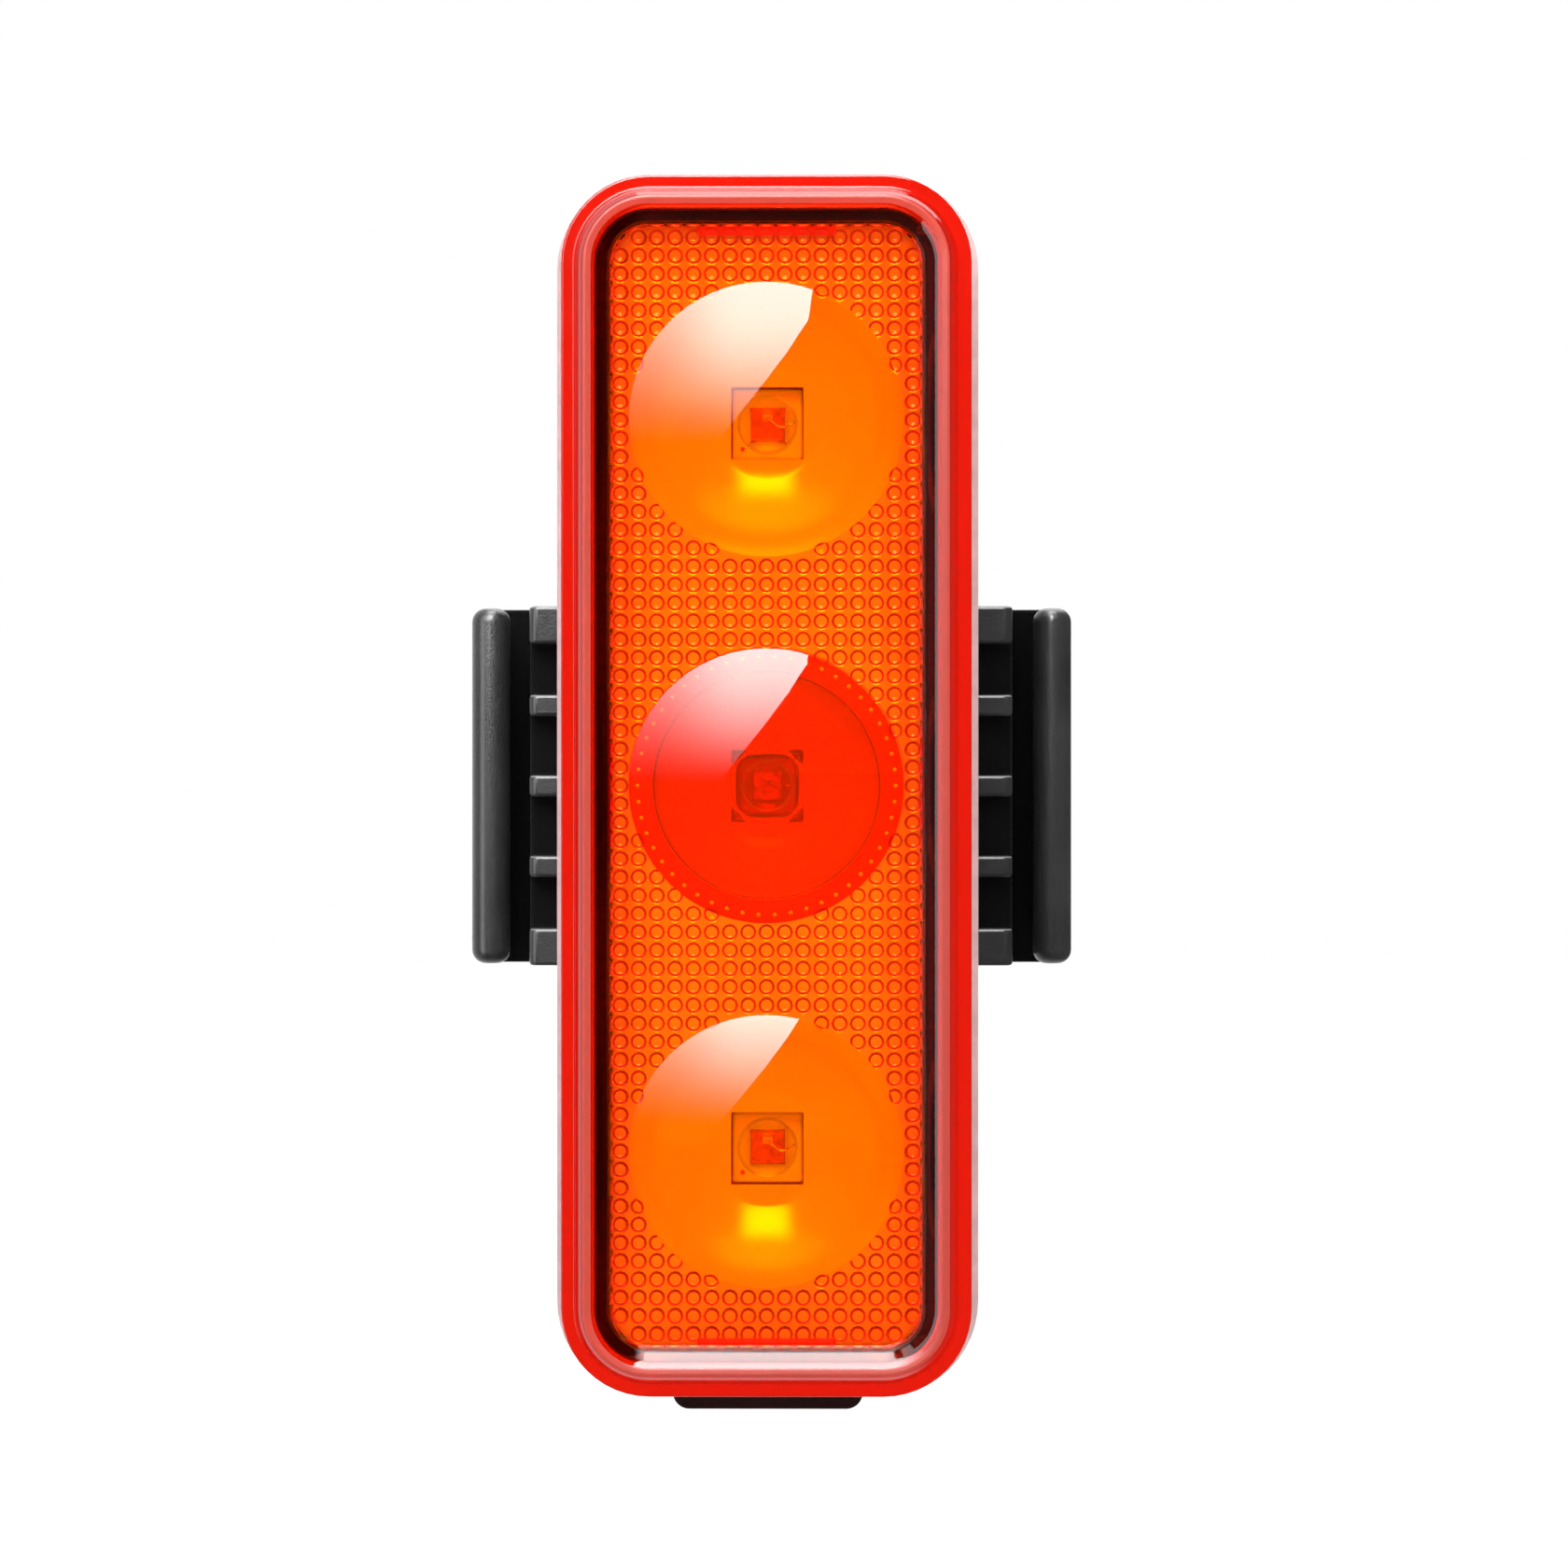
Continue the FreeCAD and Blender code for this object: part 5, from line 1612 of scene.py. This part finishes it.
@dataclass
class Mount:
    """Seatpost bracket with its ribbed wings, rubber pad and release latch."""

    edge: float = 0.22
    pad_edge: float = 0.25
    latch_edge: float = 0.15
    corner_r: float = 0.9
    corner_steps: int = 6
    past: float = 0.02
    past_depth: float = 1.0
    rib_front: float = -19.5
    # Hollow floors more than hollow_d behind the ribs' front, and within hollow_x across, get the painted
    # shade.
    hollow_d: float = 0.65
    hollow_x: Point = (9.0, 16.4)
    # Rib faces whose normal rises between these get the painted highlight.
    rib_top: Point = (0.5, 0.87)
    front_facing: float = -0.5
    bar_r: float = 1.2
    bar_corner: float = 0.85
    bar_y: float = -15.57
    bar_short: float = 0.05
    bar_sides: int = 28
    bar_steps: int = 6

    def build(self) -> list[Piece]:
        """Builds the bracket's pieces.

        Returns:
            The pieces.
        """
        return [piece("ribbed_bracket", self.body(), Body.BRACKET, BRACKET, HOLLOW_SHADE, EDGE_HIGHLIGHT,
                      stands_for="bracket_body"),
                piece("hook_bars", self.bars(), Body.BRACKET, BRACKET),
                dressed("grip_pad", "bracket_pad", Body.BRACKET, RUBBER, self.pad_edge),
                dressed("release_latch", "latch_lever", Body.LATCH, LATCH, self.latch_edge)]

    def body(self) -> Mesh:
        """The bracket with painted shade on its hollows' floors and a painted highlight on its ribs' top
        edges.

        Returns:
            The mesh.
        """
        mesh = rounded(self.trimmed(), self.edge, segments=3)
        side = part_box("bracket_body")[1].x
        for vertex in mesh.vertices:
            vertex.co.x = max(-side, min(side, vertex.co.x))
        inner, outer = self.hollow_x
        low, high = self.rib_top
        _, shaded_floor, bright = range(3)
        for face in mesh.polygons:
            reach = [abs(mesh.vertices[i].co.x) / MM for i in face.vertices]
            deep = face.center.y / MM > self.rib_front + self.hollow_d
            # Painted shade on the front-facing floors of the hollows.
            if deep and face.normal.y < self.front_facing:
                face.material_index = shaded_floor if max(reach) > inner and min(reach) < outer else 0
            # Painted highlight on the ribs' upward-facing top edges.
            if not deep and max(reach) > inner and low < face.normal.z < high:
                face.material_index = bright
        return mesh

    def trimmed(self) -> Mesh:
        """The bracket with the outer corners of its hooks rounded off.

        Returns:
            The mesh.
        """
        low, high = box_mm("bracket_body")
        outline = rounded_outline(high.x + self.past, high.z + self.past, self.corner_r, self.corner_steps)
        shell = Shell()
        rings = [shell.ring(outline, y) for y in (low.y - self.past_depth, high.y + self.past_depth)]
        shell.bridge(*rings)
        for ring in rings:
            shell.bm.faces.new(ring)
        block = link("hook_block", shell.mesh("hook_block"))
        mesh = with_modifier(merged("bracket_body"), "BOOLEAN", operation="INTERSECT", object=block,
                             solver="EXACT")
        bpy.data.objects.remove(block)
        return mesh

    def bars(self) -> Mesh:
        """Round bars along the strap hooks' ends.

        Returns:
            The mesh.
        """
        high = box_mm("bracket_body")[1]
        half = high.z - self.bar_short
        round_r = self.bar_corner
        upper = [(self.bar_r - round_r + round_r * math.cos(angle), half - round_r + round_r * math.sin(angle))
                 for angle in quarter(self.bar_steps)]
        lower = [(radius, -up) for radius, up in reversed(upper)]
        shell = Shell()
        for side in (-1, 1):
            place = (side * (high.x - self.bar_r), -self.bar_y)
            shell.turned([(0.0, -half), *lower, *upper, (0.0, half)], self.bar_sides, place)
        mesh = shell.mesh("bars", smooth_deg=45.0)
        mesh.transform(Matrix.Rotation(math.pi / 2, 4, "X"))
        return mesh


@dataclass(frozen=True)
class Card:
    """A soft bright card on a dome round the light's front.

    Its edges are angles seen from the light's front, and what fades is given as shares of the dome's radius.
    """

    name: str
    reach: tuple[float, float, float, float]
    strength: float
    through: bool = False
    slant: float = 0.0
    across: tuple[float, float, float, float] = (-9.0, -8.0, 8.0, 9.0)
    up: tuple[float, float, float, float] = (-9.0, -8.0, 8.0, 9.0)
    front: Point = (9.0, 8.0)
    side_share: float = 0.0
    back_share: float = 0.0


CARDS = (
    Card("sky_card", (-46.0, -15.8, 0.0, 146.0), 20.0, slant=0.8, across=(-0.63, -0.11, 8.0, 9.0),
         up=(0.0, 0.7, 0.71, 1.3), front=(0.1, -0.8), side_share=0.35, back_share=0.12),
    Card("left_card", (-72.0, -46.0, -30.0, 60.0), 3.0),
    Card("cup_card", (-30.0, 45.0, 14.0, 66.0), 22.0, through=True, across=(-0.32, -0.14, 0.14, 0.32),
         up=(0.4, 0.54, 0.68, 0.82)),
    Card("high_card", (-60.0, 60.0, 36.0, 120.0), 5.0, through=True, across=(-0.75, -0.4, 0.4, 0.75),
         up=(0.6, 0.92, 8.0, 9.0)),
)


@dataclass(frozen=True)
class AreaLamp:
    """A large soft lamp."""

    name: str
    place: tuple[float, float, float]
    size: float
    power: float


LAMPS = (
    AreaLamp("key", (-0.55, -0.75, 0.75), 0.6, 5.0),
    AreaLamp("fill", (0.8, -0.7, 0.25), 0.8, 4.6),
    AreaLamp("top", (0.0, 0.1, 1.1), 0.8, 2.2),
    AreaLamp("back", (0.35, 0.95, 0.45), 0.7, 3.0),
)


@dataclass
class Studio:
    """Camera, plain floor and soft lights.

    The room's gloss dims towards the viewer and towards the right, and brightens overhead. Where it starts
    and ends is given along the direction's axes.
    """

    photo_px: float = 1680.0
    body_px: Point = (821.0, 842.0)
    px_per_mm: float = 18.19
    lens: float = 156.0
    sensor: float = 36.0
    near: float = 0.01
    turn_deg: float = 0.75
    front_y: float = -0.0407
    aim: tuple[float, float, float] = (0.0, -0.03, 0.0)
    room_grey: float = 0.3
    viewer_fade: Point = (-0.25, 0.6)
    viewer_glow: float = 0.02
    right_fade: Point = (0.1, 0.6)
    right_loss: float = 0.94
    overhead: Point = (0.93, 0.985)
    overhead_glow: float = 8.0
    floor_z: float = -0.17
    floor_half: float = 6.0
    floor_grey: float = 0.86
    floor_glow: float = 0.8
    card_reach: float = 0.27
    card_faces: tuple[int, int] = (12, 16)
    card_slant_limit: float = 32.0

    def camera(self) -> None:
        """Places the camera at the photograph's angle, with the light where the photograph has it."""
        data = bpy.data.cameras.new("camera")
        data.lens = self.lens
        data.sensor_width = self.sensor
        data.clip_start = self.near
        middle = self.photo_px / 2
        data.shift_x = (middle - self.body_px[0]) / self.photo_px
        data.shift_y = (self.body_px[1] - middle) / self.photo_px
        reach = self.lens / self.sensor * self.photo_px / self.px_per_mm * MM
        turn = math.radians(self.turn_deg)
        thing = link("camera", data)
        thing.location = (reach * math.sin(turn), self.front_y - reach * math.cos(turn), 0.0)
        thing.rotation_euler = (math.pi / 2, 0.0, turn)
        bpy.context.scene.camera = thing

    def world(self) -> None:
        """Makes a soft room light that is white for the camera and through glass, and uneven in gloss."""
        world = bpy.data.worlds.new("room")
        bpy.context.scene.world = world
        world.use_nodes = True
        t = NodeTree(world.node_tree)
        x, y, z = t.axes(t.add("ShaderNodeTexCoord").outputs["Generated"])[:3]
        start, end = self.viewer_fade
        behind = t.made("ShaderNodeMapRange", {"Value": y, "From Min": start, "From Max": end,
                                               "To Min": self.viewer_glow, "To Max": 1.0})
        lost = t.math("MULTIPLY", t.smooth(x, *self.right_fade), self.right_loss)
        top = t.math("MULTIPLY", t.smooth(z, *self.overhead), self.overhead_glow)
        glow = t.math("MULTIPLY_ADD", behind, t.math("SUBTRACT", 1.0, lost), top)
        glossy = t.add("ShaderNodeLightPath").outputs["Is Glossy Ray"]
        mirrored = t.blend(glossy, opaque([self.room_grey] * 3), glow)
        background = t.made("ShaderNodeBackground", {"Color": t.blend(t.seen(), mirrored, WHITE)})
        t.add("ShaderNodeOutputWorld", {"Surface": background})

    def floor(self) -> None:
        """Adds a pale floor that shows white to the camera and keeps the shadow."""
        half = self.floor_half
        sides = ((-half, -half), (half, -half), (half, half), (-half, half))
        mesh = bpy.data.meshes.new("floor")
        mesh.from_pydata([(x, y, self.floor_z) for x, y in sides], [], [(0, 1, 2, 3)])
        t = self.plain(mesh)
        pale = {"Base Color": opaque([self.floor_grey] * 3), "Roughness": 0.9}
        shown = t.made("ShaderNodeEmission", {"Strength": t.math("MULTIPLY", t.seen(), self.floor_glow)})
        t.show(t.made("ShaderNodeBsdfPrincipled", pale), shown)
        thing = link("floor", mesh)
        thing.visible_glossy = False
        thing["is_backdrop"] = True

    def plain(self, mesh: Mesh) -> NodeTree:
        """Gives a mesh a material of its own name.

        Args:
            mesh: the mesh.

        Returns:
            The material's nodes.
        """
        material = bpy.data.materials.new(mesh.name)
        material.use_nodes = True
        mesh.materials.append(material)
        return NodeTree(material.node_tree)

    def lamp(self, lamp: AreaLamp) -> None:
        """Adds a lamp that only lights.

        Args:
            lamp: its place, size and power.
        """
        data = bpy.data.lights.new(lamp.name, "AREA")
        data.size = lamp.size
        data.energy = lamp.power
        thing = link(lamp.name, data)
        thing.location = lamp.place
        thing.rotation_euler = (Vector(self.aim) - thing.location).to_track_quat("-Z", "Y").to_euler()
        thing.visible_camera = thing.visible_glossy = thing.visible_transmission = False

    def way(self, turn_deg: float, rise_deg: float) -> Vector:
        """Point on the cards' dome in a direction from the middle of the light's front.

        Args:
            turn_deg: angle to the right of straight ahead.
            rise_deg: angle above it.

        Returns:
            The point.
        """
        turn, rise = math.radians(turn_deg), math.radians(rise_deg)
        towards = Vector((math.sin(turn) * math.cos(rise), -math.cos(turn) * math.cos(rise), math.sin(rise)))
        return Vector((0.0, self.front_y, 0.0)) + towards * self.card_reach

    def card_mesh(self, card: Card) -> Mesh:
        """A card's curved sheet.

        Args:
            card: what it covers.

        Returns:
            The mesh.
        """
        across, up = self.card_faces
        left, right, low, high = card.reach
        verts = []
        for row in range(up + 1):
            rise = low + (high - low) * row / up
            edge = right + min(card.slant * (rise - low), self.card_slant_limit)
            verts += [self.way(left + (edge - left) * column / across, rise) for column in range(across + 1)]
        faces = []
        for row in range(up):
            for first in range(row * (across + 1), row * (across + 1) + across):
                faces.append((first, first + 1, first + across + 2, first + across + 1))
        mesh = bpy.data.meshes.new(card.name)
        mesh.from_pydata(verts, [], faces)
        return mesh

    def card(self, card: Card) -> None:
        """Adds a curved soft card that only gloss or only glass sees.

        Args:
            card: what it covers and how bright it is.
        """
        mesh = self.card_mesh(card)
        t = self.plain(mesh)
        place = t.axes(t.add("ShaderNodeTexCoord").outputs["Object"])
        x, y, z = (t.math("DIVIDE", place[axis], self.card_reach) for axis in range(3))
        side = t.math("MULTIPLY_ADD", self.band(t, x, card.across), 1.0 - card.side_share, card.side_share)
        ahead = t.math("MULTIPLY_ADD", t.smooth(y, *card.front), 1.0 - card.back_share, card.back_share)
        share = t.math("MULTIPLY", t.math("MULTIPLY", self.band(t, z, card.up), side), ahead)
        light = t.made("ShaderNodeEmission", {"Strength": t.math("MULTIPLY", share, card.strength)})
        t.show(light, t.made("ShaderNodeBsdfTransparent"))
        thing = link(card.name, mesh)
        thing.visible_camera = thing.visible_diffuse = thing.visible_shadow = False
        thing.visible_glossy = not card.through
        thing.visible_transmission = card.through
        thing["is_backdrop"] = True

    def band(self, t: NodeTree, value: Socket, levels: tuple[float, ...]) -> Socket:
        """1 inside a band and 0 outside it, with soft edges.

        Args:
            t: the material's nodes.
            value: what is compared.
            levels: where the first edge starts and ends, then the second.

        Returns:
            The socket.
        """
        start, full, still, end = levels
        return t.math("MULTIPLY", t.smooth(value, start, full), t.smooth(value, end, still))

    def build(self) -> None:
        """Builds the whole studio."""
        self.camera()
        self.world()
        self.floor()
        for lamp in LAMPS:
            self.lamp(lamp)
        for card in CARDS:
            self.card(card)
        bpy.context.scene.view_settings.view_transform = "Standard"


def dress_plain_nodes() -> None:
    """Gives its finish to each CAD node that is shown as it is."""
    for node, finish in PLAIN_NODES.items():
        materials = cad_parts[node].data.materials
        materials.clear()
        materials.append(finish.material())
        log.info("%s: dressed in %s", node, finish.name)


def corners(bounds: tuple[Vector, Vector]) -> list[list[float]]:
    """Two corners as plain lists."""
    return [list(corner) for corner in bounds]


def main() -> None:
    """Builds the studio and every piece, and works out the scene's bounds before and after."""
    logging.basicConfig(level=logging.INFO, format="%(name)s: %(message)s")
    cad_size = corners(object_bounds())
    Studio().build()
    lens = LensCover()
    lens.build()
    lens.weld_bead()
    lens.collar()
    lens.tabs()
    optics = Optics()
    optics.build()
    optics.collimator()
    optics.flange()
    optics.flange_pips()
    lamps = Lamps()
    lamps.bases()
    lamps.chips()
    lamps.domes()
    Case().build()
    Mount().build()
    dress_plain_nodes()
    {"cad": cad_size, "visual": corners(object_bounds())}


if __name__ == "__main__":
    main()
